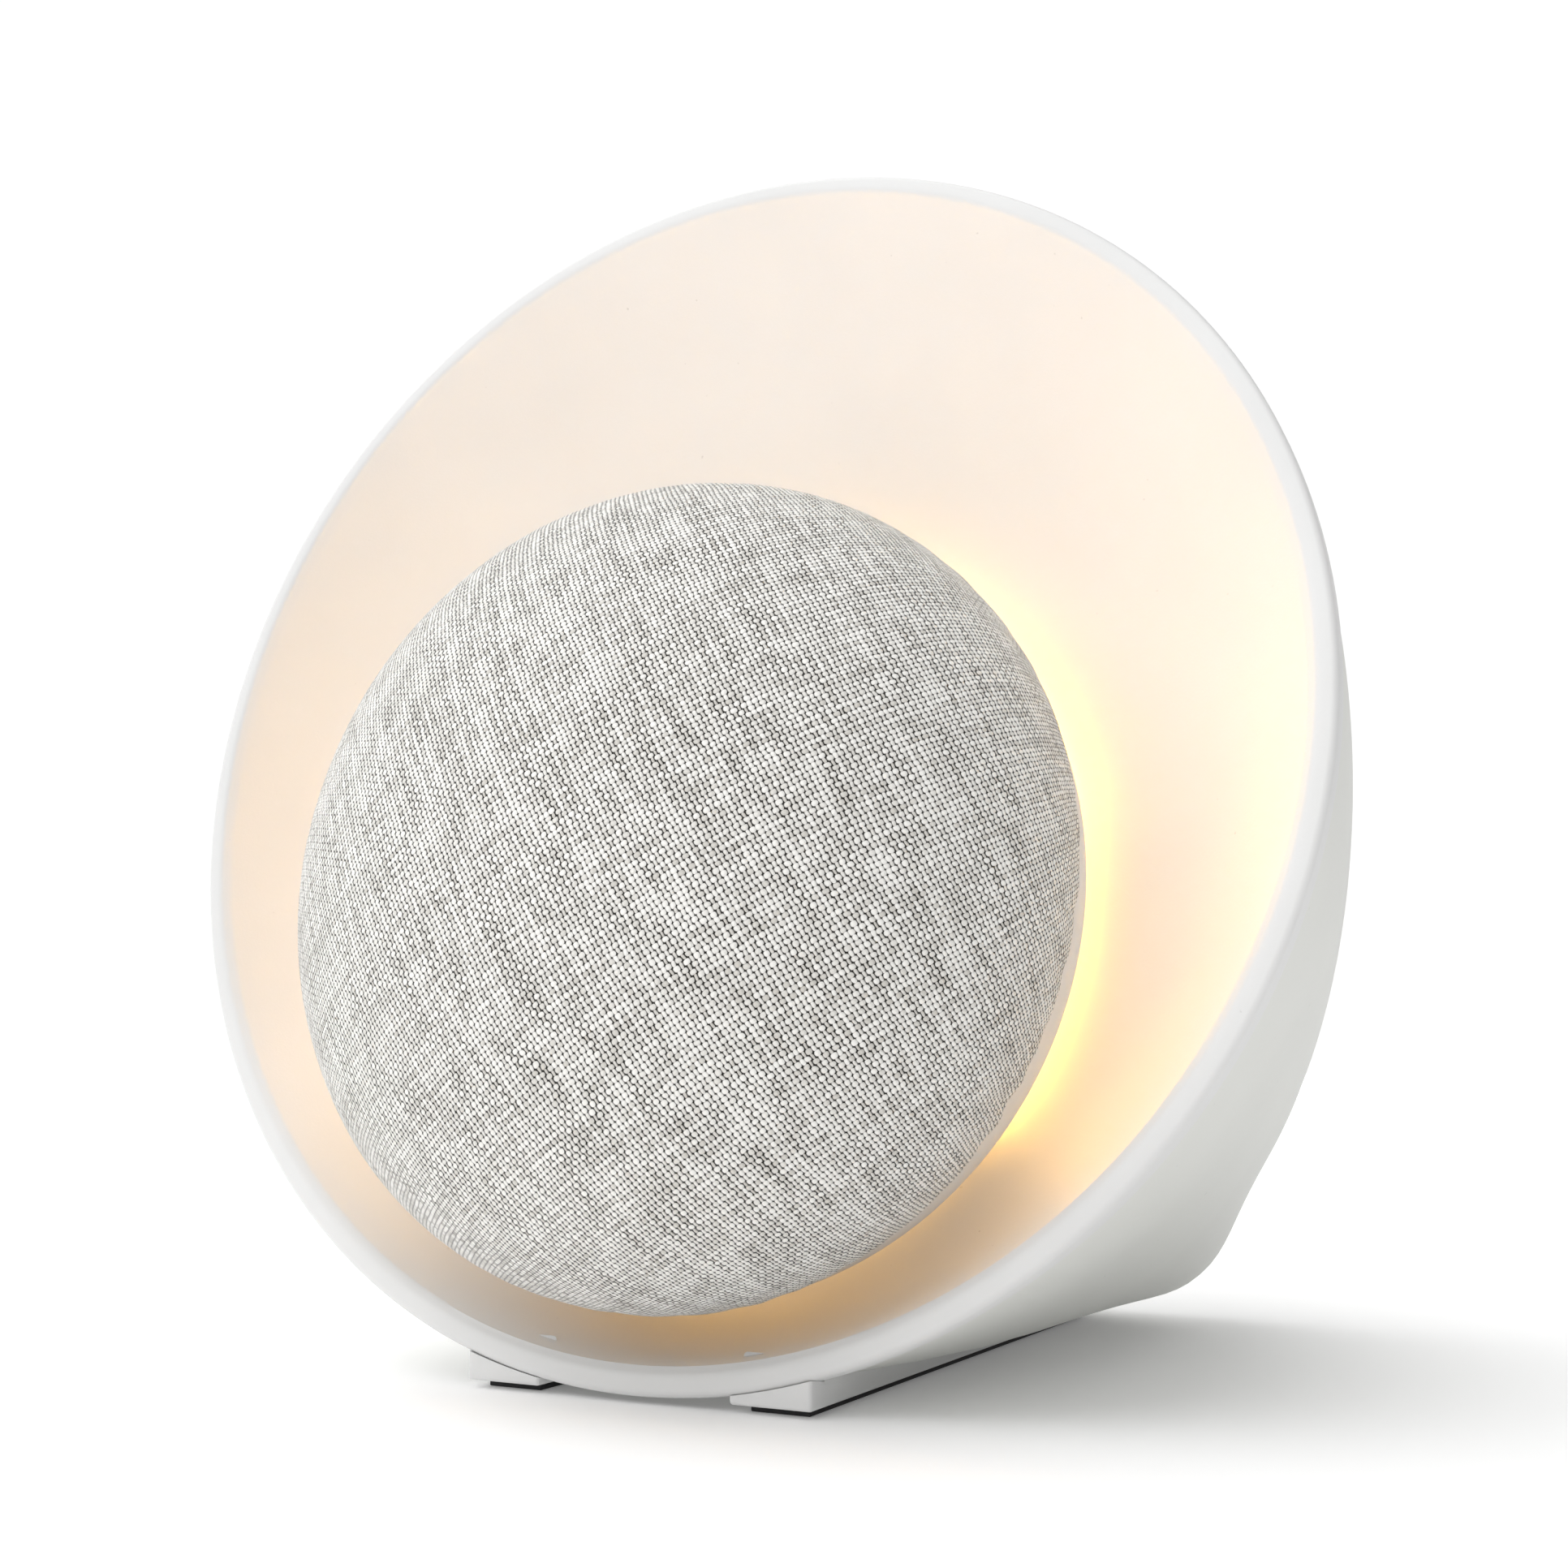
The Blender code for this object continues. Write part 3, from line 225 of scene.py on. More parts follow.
def feed(tree, socket, value):
    # links a node's output, or sets a plain value
    if isinstance(value, bpy.types.NodeSocket):
        tree.links.new(value, socket)
    else:
        socket.default_value = value


def calc(tree, operation, *values):
    node = tree.nodes.new("ShaderNodeMath")
    node.operation = operation
    for socket, value in zip(node.inputs, values):
        feed(tree, socket, value)
    return node.outputs[0]


def spread(tree, value, low, high, toLow=0.0, toHigh=1.0, smooth=False):
    node = tree.nodes.new("ShaderNodeMapRange")
    node.interpolation_type = "SMOOTHSTEP" if smooth else "LINEAR"
    tree.links.new(value, node.inputs["Value"])
    for socket, number in zip(("From Min", "From Max", "To Min", "To Max"), (low, high, toLow, toHigh)):
        node.inputs[socket].default_value = number
    return node.outputs["Result"]


def blendColour(tree, factor, first, second):
    node = tree.nodes.new("ShaderNodeMix")
    node.data_type = "RGBA"
    feed(tree, node.inputs[0], factor)
    for socket, colour in ((node.inputs[6], first), (node.inputs[7], second)):
        feed(tree, socket, colour if isinstance(colour, bpy.types.NodeSocket) else (*colour, 1.0))
    return node.outputs[2]


def shaded(colour, share):
    return tuple(channel * share for channel in colour)


def along(tree, place, direction):
    # how far a place lies along a direction
    node = tree.nodes.new("ShaderNodeVectorMath")
    node.operation = "DOT_PRODUCT"
    node.inputs[1].default_value = direction
    tree.links.new(place, node.inputs[0])
    return node.outputs["Value"]


def noise(tree, scale, detail=2.0, vector=None, stretch=None, roughness=0.5):
    # noise in the piece's own metres, or in a given vector
    if vector is None:
        vector = tree.nodes.new("ShaderNodeTexCoord").outputs["Object"]
    if stretch is not None:
        mapping = tree.nodes.new("ShaderNodeMapping")
        mapping.inputs["Scale"].default_value = stretch
        tree.links.new(vector, mapping.inputs["Vector"])
        vector = mapping.outputs["Vector"]
    node = tree.nodes.new("ShaderNodeTexNoise")
    node.inputs["Scale"].default_value = scale
    node.inputs["Detail"].default_value = detail
    node.inputs["Roughness"].default_value = roughness
    tree.links.new(vector, node.inputs["Vector"])
    return node.outputs["Fac"]


def bump(tree, shader, height, distance, strength=1.0):
    node = tree.nodes.new("ShaderNodeBump")
    node.inputs["Strength"].default_value = strength
    node.inputs["Distance"].default_value = distance
    tree.links.new(height, node.inputs["Height"])
    tree.links.new(node.outputs["Normal"], shader.inputs["Normal"])


# ---- finishes
def mouldedPlastic(name, colour, roughness, grain=0.000012, shade=0.03):
    # spark-eroded skin, a slow change of tone, and faint specks of dust
    material, tree, shader = newFinish(name)
    tone = spread(tree, noise(tree, 38.0), 0.35, 0.65)
    tinted = blendColour(tree, tone, shaded(colour, 1.0 - shade), colour)
    speck = spread(tree, noise(tree, 900.0, 1.0), 0.80, 0.84)
    dusty = shaded(colour, 0.82)
    tree.links.new(blendColour(tree, speck, tinted, dusty), shader.inputs["Base Color"])
    fine = noise(tree, 3200.0, 3.0)
    tree.links.new(spread(tree, fine, 0.3, 0.7, roughness - 0.05, roughness + 0.06),
                   shader.inputs["Roughness"])
    bump(tree, shader, fine, grain)
    shader.inputs["Specular IOR Level"].default_value = 0.35
    return material


def rubber(name, colour=(0.018, 0.018, 0.019)):
    material, tree, shader = newFinish(name)
    grain = noise(tree, 1800.0, 4.0)
    lighter = shaded(colour, 1.9)
    tree.links.new(blendColour(tree, spread(tree, grain, 0.4, 0.75), colour, lighter),
                   shader.inputs["Base Color"])
    tree.links.new(spread(tree, grain, 0.3, 0.7, 0.68, 0.86), shader.inputs["Roughness"])
    bump(tree, shader, grain, 0.00003)
    return material


def metal(name, colour, roughness, stretch=(1.0, 1.0, 14.0)):
    # drawn or machined lines along one direction
    material, tree, shader = newFinish(name)
    lines = noise(tree, 900.0, 4.0, stretch=stretch)
    stained = shaded(colour, 0.72)
    tree.links.new(blendColour(tree, spread(tree, noise(tree, 160.0), 0.35, 0.7), stained, colour),
                   shader.inputs["Base Color"])
    tree.links.new(spread(tree, lines, 0.3, 0.7, roughness - 0.08, roughness + 0.12),
                   shader.inputs["Roughness"])
    shader.inputs["Metallic"].default_value = 1.0
    bump(tree, shader, lines, 0.000015)
    return material


def circuitBoard(name, mask=(0.012, 0.115, 0.045), track=(0.03, 0.20, 0.08)):
    # solder mask over raised copper tracks
    material, tree, shader = newFinish(name)
    cells = tree.nodes.new("ShaderNodeTexBrick")
    cells.inputs["Scale"].default_value = 260.0
    cells.inputs["Mortar Size"].default_value = 0.09
    cells.inputs["Color1"].default_value = (0.0, 0.0, 0.0, 1.0)
    cells.inputs["Color2"].default_value = (0.25, 0.25, 0.25, 1.0)
    cells.inputs["Mortar"].default_value = (1.0, 1.0, 1.0, 1.0)
    place = tree.nodes.new("ShaderNodeTexCoord")
    mapping = tree.nodes.new("ShaderNodeMapping")
    mapping.inputs["Rotation"].default_value = (math.pi / 2, 0.0, 0.0)
    tree.links.new(place.outputs["Object"], mapping.inputs["Vector"])
    tree.links.new(mapping.outputs["Vector"], cells.inputs["Vector"])
    raised = calc(tree, "MULTIPLY", cells.outputs["Color"], spread(tree, noise(tree, 140.0), 0.45, 0.52))
    tree.links.new(blendColour(tree, raised, mask, track), shader.inputs["Base Color"])
    shader.inputs["Roughness"].default_value = 0.32
    shader.inputs["Coat Weight"].default_value = 0.4
    bump(tree, shader, raised, 0.00004)
    return material


def fibre(name, colour, paler, scale=700.0, stretch=(1.0, 1.0, 1.0)):
    # pressed paper or impregnated cloth
    material, tree, shader = newFinish(name)
    strands = noise(tree, scale, 6.0, stretch=stretch, roughness=0.65)
    tree.links.new(blendColour(tree, spread(tree, strands, 0.35, 0.7), colour, paler),
                   shader.inputs["Base Color"])
    shader.inputs["Roughness"].default_value = 0.88
    bump(tree, shader, strands, 0.00004)
    return material


def windings(name, colour=(0.62, 0.27, 0.12)):
    # enamelled wire wound round the pod's axis, with painted shade in the grooves between the turns
    material, tree, shader = newFinish(name)
    ridges = 14000.0      # radians a metre, so one turn of wire every 0.22 mm
    place = tree.nodes.new("ShaderNodeTexCoord")
    angle = calc(tree, "MULTIPLY", along(tree, place.outputs["Object"], forward), ridges)
    turns = calc(tree, "ABSOLUTE", calc(tree, "SINE", angle))
    # painted shade: the colour darkens towards the grooves between neighbouring turns
    grooveShade = shaded(colour, 0.35)
    tree.links.new(blendColour(tree, turns, grooveShade, colour), shader.inputs["Base Color"])
    shader.inputs["Metallic"].default_value = 0.8
    shader.inputs["Roughness"].default_value = 0.34
    bump(tree, shader, turns, 0.00006)
    return material


glow = {"colour": (1.0, 0.53, 0.10), "strength": 17.0, "topShare": 5.0, "rest": 0.16,
        "lowest": -0.0255, "soft": 0.0010, "richFrom": 0.0, "richFull": 0.040, "off": (0.80, 0.74, 0.62)}


def glowingDiffuser(name):
    # opal strip over the lamps; below the lowest lamp it glows only faintly
    material, tree, shader = newFinish(name)
    place = tree.nodes.new("ShaderNodeTexCoord")
    away = tree.nodes.new("ShaderNodeVectorMath")
    away.operation = "SUBTRACT"
    away.inputs[1].default_value = podCentre
    tree.links.new(place.outputs["Object"], away.inputs[0])
    height = along(tree, away.outputs["Vector"], upward)
    lit = spread(tree, height, glow["lowest"] - glow["soft"], glow["lowest"] + glow["soft"],
                 glow["strength"] * glow["rest"], glow["strength"], smooth=True)
    # the lamps at the top have the longest way to the rim and burn brighter
    richer = spread(tree, height, glow["richFrom"], glow["richFull"], 1.0, 1.0 + glow["topShare"],
                    smooth=True)
    lit = calc(tree, "MULTIPLY", lit, richer)
    mottle = spread(tree, noise(tree, 500.0), 0.2, 0.8, 0.93, 1.0)
    tree.links.new(calc(tree, "MULTIPLY", lit, mottle), shader.inputs["Emission Strength"])
    shader.inputs["Emission Color"].default_value = (*glow["colour"], 1.0)
    shader.inputs["Base Color"].default_value = (*glow["off"], 1.0)
    shader.inputs["Roughness"].default_value = 0.45
    bump(tree, shader, noise(tree, 2200.0), 0.00001)
    return material


# gap is a painted shade colour for the hollows between the threads
cloth = {"pitch": 0.00060, "angle": math.radians(33.0), "relief": 0.00024,
         "yarn": (0.97, 0.955, 0.92), "greyYarn": (0.68, 0.655, 0.61), "gap": (0.016, 0.014, 0.011),
         "warp": 0.44, "warpSlub": 0.20, "weft": 0.50, "weftSlub": 0.06, "wander": 0.22,
         "shake": 0.16, "slubRate": 0.085}


def wovenCloth(name):
    # plain weave: each thread is a rounded ridge that dips under every second crossing; the hollows between
    # threads get painted shade
    material, tree, shader = newFinish(name)
    uv = tree.nodes.new("ShaderNodeUVMap")
    uv.uv_map = "cloth"
    parts = tree.nodes.new("ShaderNodeSeparateXYZ")
    tree.links.new(uv.outputs["UV"], parts.inputs[0])

    def wandering(coordinate, offset):
        # threads drift sideways over many crossings and shake a little at each
        shifted = tree.nodes.new("ShaderNodeVectorMath")
        shifted.operation = "ADD"
        shifted.inputs[1].default_value = (offset, offset, 0.0)
        tree.links.new(uv.outputs["UV"], shifted.inputs[0])
        slow = spread(tree, noise(tree, 110.0, 1.0, shifted.outputs["Vector"]), 0.2, 0.8,
                      -cloth["wander"], cloth["wander"])
        quick = spread(tree, noise(tree, 800.0, 1.0, shifted.outputs["Vector"]), 0.2, 0.8,
                       -cloth["shake"], cloth["shake"])
        threads = calc(tree, "DIVIDE", coordinate, cloth["pitch"])
        return calc(tree, "ADD", threads, calc(tree, "ADD", slow, quick))

    u = wandering(parts.outputs["X"], 3.1)
    v = wandering(parts.outputs["Y"], 7.7)

    def thread(over, alongIt, sign, offset, half, thin):
        # ridge height and tint of one set of threads, counted along over
        number = calc(tree, "FLOOR", over)
        side = calc(tree, "SUBTRACT", calc(tree, "SUBTRACT", over, number), 0.5)
        odd = calc(tree, "COSINE", calc(tree, "MULTIPLY", number, math.pi))
        wave = calc(tree, "MULTIPLY", odd, calc(tree, "SINE", calc(tree, "MULTIPLY", alongIt, math.pi)))
        wave = calc(tree, "MULTIPLY", wave, sign)
        key = tree.nodes.new("ShaderNodeCombineXYZ")
        tree.links.new(calc(tree, "MULTIPLY", number, 7.31 + offset), key.inputs[0])
        tree.links.new(calc(tree, "MULTIPLY", alongIt, cloth["slubRate"]), key.inputs[1])
        slub = spread(tree, noise(tree, 1.0, 2.0, key.outputs[0]), 0.33, 0.68)
        share = calc(tree, "DIVIDE", side, spread(tree, slub, 0.0, 1.0, half - thin, half))
        square = calc(tree, "MULTIPLY", share, share)
        arch = calc(tree, "SQRT", calc(tree, "MAXIMUM", calc(tree, "SUBTRACT", 1.0, square), 0.0))
        outside = calc(tree, "GREATER_THAN", square, 1.0)
        ridge = calc(tree, "ADD", calc(tree, "MULTIPLY", arch, 0.55), calc(tree, "MULTIPLY", wave, 0.45))
        return calc(tree, "SUBTRACT", ridge, outside), slub

    warp, warpSlub = thread(u, v, 1.0, 0.0, cloth["warp"], cloth["warpSlub"])
    weft, weftSlub = thread(v, u, -1.0, 4.17, cloth["weft"], cloth["weftSlub"])
    height = calc(tree, "MAXIMUM", calc(tree, "MAXIMUM", warp, weft), 0.0)
    onTop = calc(tree, "GREATER_THAN", warp, weft)
    tint = calc(tree, "ADD", calc(tree, "MULTIPLY", onTop, warpSlub),
                calc(tree, "MULTIPLY", calc(tree, "SUBTRACT", 1.0, onTop), weftSlub))
    hairs = noise(tree, 5200.0, 3.0, uv.outputs["UV"])
    tint = calc(tree, "ADD", calc(tree, "MULTIPLY", tint, 0.75), calc(tree, "MULTIPLY", hairs, 0.45))
    yarn = blendColour(tree, spread(tree, tint, 0.25, 0.75), cloth["greyYarn"], cloth["yarn"])
    # painted shade: low in the weave, between the threads and along their edges, the yarn colour falls to the gap
    # colour
    litShare = spread(tree, height, 0.30, 0.62, smooth=True)
    tree.links.new(blendColour(tree, litShare, cloth["gap"], yarn), shader.inputs["Base Color"])
    shader.inputs["Roughness"].default_value = 0.92
    shader.inputs["Sheen Weight"].default_value = 0.25
    shader.inputs["Sheen Roughness"].default_value = 0.5
    shader.inputs["Specular IOR Level"].default_value = 0.15
    fuzzy = calc(tree, "ADD", height, calc(tree, "MULTIPLY", hairs, 0.12))
    bump(tree, shader, fuzzy, cloth["relief"], 0.9)
    return material


finishes = {
    "white_plastic": mouldedPlastic("whiteMoulding", (0.78, 0.78, 0.775), 0.48),
    "shell_plastic": mouldedPlastic("shellMoulding", (0.78, 0.785, 0.75), 0.52),
    "pad_rubber": rubber("padRubber"),
    "heather_fabric": wovenCloth("heatherWeave"),
    "light_diffuser": glowingDiffuser("opalStrip"),
    "black_plastic": mouldedPlastic("blackMoulding", (0.035, 0.035, 0.036), 0.50, 0.00002, 0.2),
    "mute_orange": mouldedPlastic("orangeMoulding", (0.78, 0.25, 0.05), 0.45),
    "circuit_board": circuitBoard("greenBoard"),
    "led_board_white": circuitBoard("whiteBoard", (0.78, 0.78, 0.75), (0.62, 0.62, 0.58)),
    "ballast_iron": metal("castIron", (0.20, 0.20, 0.21), 0.62, (1.0, 1.0, 1.0)),
    "steel": metal("zincSteel", (0.60, 0.60, 0.62), 0.36),
    "shield_can": metal("tinnedCan", (0.72, 0.72, 0.73), 0.30),
    "spreader_aluminium": metal("satinAluminium", (0.78, 0.78, 0.79), 0.38),
    "magnet_ferrite": rubber("ferrite", (0.030, 0.030, 0.032)),
    "coil_copper": windings("copperWinding"),
    "cone_paper": fibre("conePaper", (0.018, 0.018, 0.018), (0.060, 0.058, 0.055)),
    "surround_rubber": rubber("surroundRubber", (0.015, 0.015, 0.015)),
    "spider_cloth": fibre("spiderCloth", (0.34, 0.22, 0.08), (0.70, 0.52, 0.24), 1400.0, (1.0, 4.0, 1.0)),
    "mic_gold": metal("platedCan", (0.80, 0.66, 0.36), 0.30),
}
slotOf = {part["node"]: part["material_slot"] for part in frame["record"]["subparts"]}
for name, node in nodes.items():
    if not node.material_slots:
        node.data.materials.append(finishes[slotOf[name]])
    for place in node.material_slots:
        place.material = finishes[slotOf[name]]
print("finishes made:", len(finishes))


def dressed(piece, node):
    # the new piece takes its node's place and finish
    slot = slotOf[node]
    piece.data.materials.clear()
    piece.data.materials.append(finishes[slot])
    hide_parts(node)
    return piece


def fitted(piece, node):
    # the same for a piece that belongs to the housing
    dressed(piece, node)
    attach(piece, "housing")
    return piece


# ---- bowl
def dishDepth(share):
    return bowl["lipRound"] + (bowl["depth"] - bowl["lipRound"]) * (1.0 - (1.0 - share) ** bowl["crown"])


def dishRing(share, behind=0.0):
    radius = dishRadius - (dishRadius - holeRadius) * share
    return circle(rimPlace, radius, -dishDepth(share) - behind, bowl["steps"], -podDrop * share)


def makeBowl():
    steps = bowl["steps"]
    lip, back, edge = bowl["lipRound"], bowl["lipBack"], bowl["innerEdge"]
    spigot = rimRadius - shell["seamStep"] - shell["wall"] - bowl["spigotGap"]
    outline = [(spigot, -bowl["lipDepth"]), (rimRadius - back, -bowl["lipDepth"])]
    outline += corner((rimRadius - back, -bowl["lipDepth"] + back), back, -90, 0, 4)
    outline += corner((rimRadius - lip, -lip), lip, 0, 90, 8)
    outline += corner((dishRadius + edge, -edge), edge, 90, 140, 4)
    rings = [circle(rimPlace, radius, height, steps) for radius, height in outline]
    rows = bowl["rows"]
    shares = [(i / rows) ** bowl["rowPower"] for i in range(rows + 1)]
    rings += [dishRing(share) for share in shares]
    rings += [dishRing(share, bowl["wall"]) for share in reversed(shares[4::4])]
    rings.append(circle(rimPlace, spigot, -bowl["lipDepth"] - bowl["spigotDepth"], steps))
    return fitted(loft("bowl", rings, wrap=True, sharp=40.0), "reflector_bowl")


makeBowl()
print("bowl done")


# ---- rear shell
def underside(y):
    return shell["underside"] - shell["fall"] * y


def shellSection(share, inset, floor, turn=0.0):
    # a section from the seam (seamShare) to the back (1); turn carries it round the back edge
    travel = (share - seamShare) / (1.0 - seamShare)
    grown = (travel - shell["heelStart"]) / (shell["heelFull"] - shell["heelStart"])
    swell = shell["heel"] * max(0.0, min(1.0, grown)) * math.cos(turn)
    edge = shell["backRound"] - inset
    radius = (rimRadius - shell["seamStep"] - shell["taper"] * max(travel, 0.0) ** shell["taperPower"]
              - inset - edge * (1.0 - math.cos(turn)))
    tilt = lean * (1.0 - travel) ** 2
    height = rimCentre.z - shell["drop"] * share ** shell["dropPower"]
    centre = Vector((0.0, shell["depth"] * share + edge * math.sin(turn), height))
    if travel <= 0.0:
        centre = Vector((0.0, 0.0, rimCentre.z)) - forward * (shell["depth"] * seamShare)
    up = Vector((0.0, math.sin(tilt), math.cos(tilt)))
    # the flat underside grows out of the round section behind the lip
    grip = min(1.0, share * shell["depth"] / shell["floorStart"])
    ring = []
    for i in range(shell["steps"]):
        angle = math.tau * i / shell["steps"]
        below = abs(math.pi - angle)
        bulge = swell * math.exp(-((below - shell["heelAngle"]) / shell["heelSpread"]) ** 2)
        reach = radius + bulge
        point = centre + across * (reach * math.sin(angle)) + up * (reach * math.cos(angle))
        lifted = max(point.z, underside(point.y) + floor)
        point.z += (lifted - point.z) * grip
        point.y += rimCentre.y
        ring.append(point)
    return ring


def shellSections(inset, floor):
    rows = shell["rows"]
    rings = [shellSection(seamShare + (1.0 - seamShare) * i / rows, inset, floor)
             for i in range(rows + 1)]
    return rings + backRings(rings[-1], inset, floor)


def backRings(last, inset, floor):
    # rounds the back edge; above the middle the round starts along the falling top
    before = shellSection(shell["almostBack"], inset, floor)
    middle = Vector((0.0, last[0].y, sum(point.z for point in last) / len(last)))
    edge = shell["backRound"] - inset
    steps = shell["backSteps"]
    rings = []
    for step in range(1, steps + 1):
        plain = shellSection(1.0, inset, floor, math.radians(90 * step / steps))
        ring = []
        for i, point in enumerate(last):
            outward = (point - middle).normalized()
            fall = (before[i] - point).dot(outward) / (point.y - before[i].y)
            start = math.atan(max(fall, 0.0))
            turn = start + (math.pi / 2 - start) * step / steps
            radius = edge / (1.0 - math.sin(start))
            onward = radius * (math.sin(turn) - math.sin(start))
            inward = radius * (math.cos(start) - math.cos(turn))
            soft = point + Vector((0.0, onward, 0.0)) - outward * inward
            share = max(0.0, min(1.0, (outward.z + shell["crownFrom"]) / shell["crownSpan"]))
            ring.append(plain[i].lerp(soft, eased(share)))
        rings.append(ring)
    return rings


vents = {"count": 5, "length": 0.0240, "height": 0.0020, "pitch": 0.0042, "lowest": 0.0640,
         "mouth": 0.0004}
holes = {"power_inlet": {"width": 0.0090, "rounding": 0.0045},
         "power_button": {"width": 0.0100, "rounding": 0.0050}, "mouth": 0.0003}
sliderSlot = {"width": 0.0042, "play": 0.0006, "height": 0.0038, "rounding": 0.0008}
tooling = {"outside": 0.004, "hair": 0.00001}


def openingTool(name, x, z, width, height, rounding, face, bevel):
    # rounded slot with a chamfered mouth, run through the back wall
    def outline(y, grow):
        w, h = width / 2 + grow, height / 2 + grow
        r = min(rounding + grow, w, h) - tooling["hair"]
        corners = ((w - r, h - r, 0), (r - w, h - r, 90), (r - w, r - h, 180), (w - r, r - h, 270))
        points = []
        for cx, cz, start in corners:
            points += corner((x + cx, z + cz), r, start, start + 90, 8)
        return [Vector((px, y, pz)) for px, pz in points]

    rings = [outline(face - 2 * shell["wall"], 0.0), outline(face - bevel, 0.0), outline(face, bevel),
             outline(face + tooling["outside"], bevel)]
    return loft(name, rings, capped=True)


def makeShell():
    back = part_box("rear_shell")[1].y
    outer = shellSections(0.0, 0.0)
    inner = shellSections(shell["wall"], shell["floorWall"])
    body = loft("shell", outer[::-1] + inner, capped=True, sharp=40.0)
    tools = []
    for i in range(vents["count"]):
        tools.append(openingTool("vent%d" % i, 0.0, vents["lowest"] + vents["pitch"] * i, vents["length"],
                                 vents["height"], vents["height"] / 2, back, vents["mouth"]))
    for name in ("power_inlet", "power_button"):
        low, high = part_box(name)
        width = holes[name]["width"]
        tools.append(openingTool(name + "Hole", (low.x + high.x) / 2, (low.z + high.z) / 2, width, width,
                                 holes[name]["rounding"], back, holes["mouth"]))
    low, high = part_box("mute_slider")
    travel = joints["mute_slide"]["range_m"][1]
    tools.append(openingTool("sliderSlot", (low.x + high.x + travel) / 2, (low.z + high.z) / 2,
                             sliderSlot["width"] + travel + sliderSlot["play"], sliderSlot["height"],
                             sliderSlot["rounding"], back, holes["mouth"]))
    cut(body, tools)
    return fitted(body, "rear_shell")


makeShell()
print("shell done")


# ---- rails and pads
feet = {"railTall": 0.0050, "railEdge": 0.00045, "padEdge": 0.00015, "gap": 0.00005,
        "lipBehind": 0.00025, "lipAhead": 0.01}


def softBox(name, low, high, edge, segments=4):
    body = bmesh.new()
    bmesh.ops.create_cube(body, size=1.0)
    bmesh.ops.scale(body, vec=high - low, verts=body.verts)
    bmesh.ops.translate(body, vec=(low + high) / 2, verts=body.verts)
    mesh = bpy.data.meshes.new(name)
    body.to_mesh(mesh)
    body.free()
    piece = newPiece(name, mesh)
    rounded = piece.modifiers.new("edges", "BEVEL")
    rounded.width = edge
    rounded.segments = segments
    settle(piece)
    smoothed(piece.data, 40.0)
    return piece


def makeRails():
    for side in ("left", "right"):
        low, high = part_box("foot_rail_" + side)
        high.z = low.z + feet["railTall"]
        rail = softBox(side + "Rail", low, high, feet["railEdge"])
        lip = [circle(rimPlace, rimRadius + feet["gap"], height, bowl["steps"])
               for height in (feet["lipAhead"], -bowl["lipDepth"] - feet["lipBehind"])]
        tools = [loft("lipTool", lip, capped=True),
                 loft("shellTool", shellSections(-feet["gap"], -feet["gap"]), capped=True)]
        cut(rail, tools)
        fitted(rail, "foot_rail_" + side)
        low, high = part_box("foot_pad_" + side)
        fitted(softBox(side + "Pad", low, high, feet["padEdge"], 2), "foot_pad_" + side)


makeRails()
print("rails and pads done")


# ---- pod: cup, light ring and cloth
cup = {"inset": 0.0015, "top": -0.0035, "edge": 0.0006, "skirt": 0.0030, "rise": 0.0010,
       "roundPower": 1.15, "fallPower": 0.9, "wall": 0.002, "floor": -0.0168, "back": -0.0188,
       "bore": 0.0005, "steps": 24}


def makeCup():
    # straight skirt, then round under to the neck
    topRadius = podRadius - cup["inset"]
    neck = lightOuter - pod["lightWidth"] - clear
    top, edge, steps = cup["top"], cup["edge"], cup["steps"]
    flank = corner((topRadius - edge, top - edge), edge, 90, 0, 4)
    shoulder = top - cup["skirt"]
    tall = bowl["depth"] + shoulder - cup["rise"]
    for i in range(steps + 1):
        angle = math.radians(90 * i / steps)
        flank.append((neck + (topRadius - neck) * math.cos(angle) ** cup["roundPower"],
                      shoulder - tall * math.sin(angle) ** cup["fallPower"]))
    inner = [(radius - cup["wall"], height) for radius, height in flank]
    profile = [(cup["bore"], cup["floor"]), (neck - cup["wall"], cup["floor"])] + inner[::-1] + flank
    profile += [(neck, cup["back"]), (cup["bore"], cup["back"])]
    return fitted(turned("podCup", profile), "pod_base")


def makeLight():
    inner = lightOuter - pod["lightWidth"]
    back = -bowl["depth"] - pod["lightThick"]
    front = -bowl["depth"]
    edge = pod["lightEdge"]
    profile = corner((lightOuter - edge, front - edge), edge, 90, 0, 3) + [(lightOuter, back), (inner, back)]
    profile += corner((inner + edge, front - edge), edge, 180, 90, 3)
    return fitted(turned("lightStrip", profile), "light_ring")


def clothProfile():
    # from the pole over the widest circle and round under the rim of the cup
    points = []
    for i in range(pod["points"]):
        angle = math.pi / 2 * (1.0 - i / pod["points"])
        points.append((podRadius * math.cos(angle) ** (2 / pod["power"]),
                       pod["bulge"] * math.sin(angle) ** (2 / pod["power"])))
    points[0] = (0.0, pod["bulge"])
    turnIn = pod["tuck"]
    side = podRadius - pod["hemInset"]
    points += [(podRadius, 0.0), (side, -pod["skirt"] + turnIn)]
    points += corner((side - turnIn, -pod["skirt"] + turnIn), turnIn, 0, -90, 12)[1:]
    points.append((side - turnIn - pod["hemWidth"], -pod["skirt"]))
    return np.array(points)


hem = {"across": 300, "pucker": 0.00022, "waves": 46, "from": 0.80, "over": 0.12, "uneven": 0.00010,
       "gathers": 6, "gatherStep": 9, "slackWaves": 5, "slackPitch": (180, 420), "seed": 5}


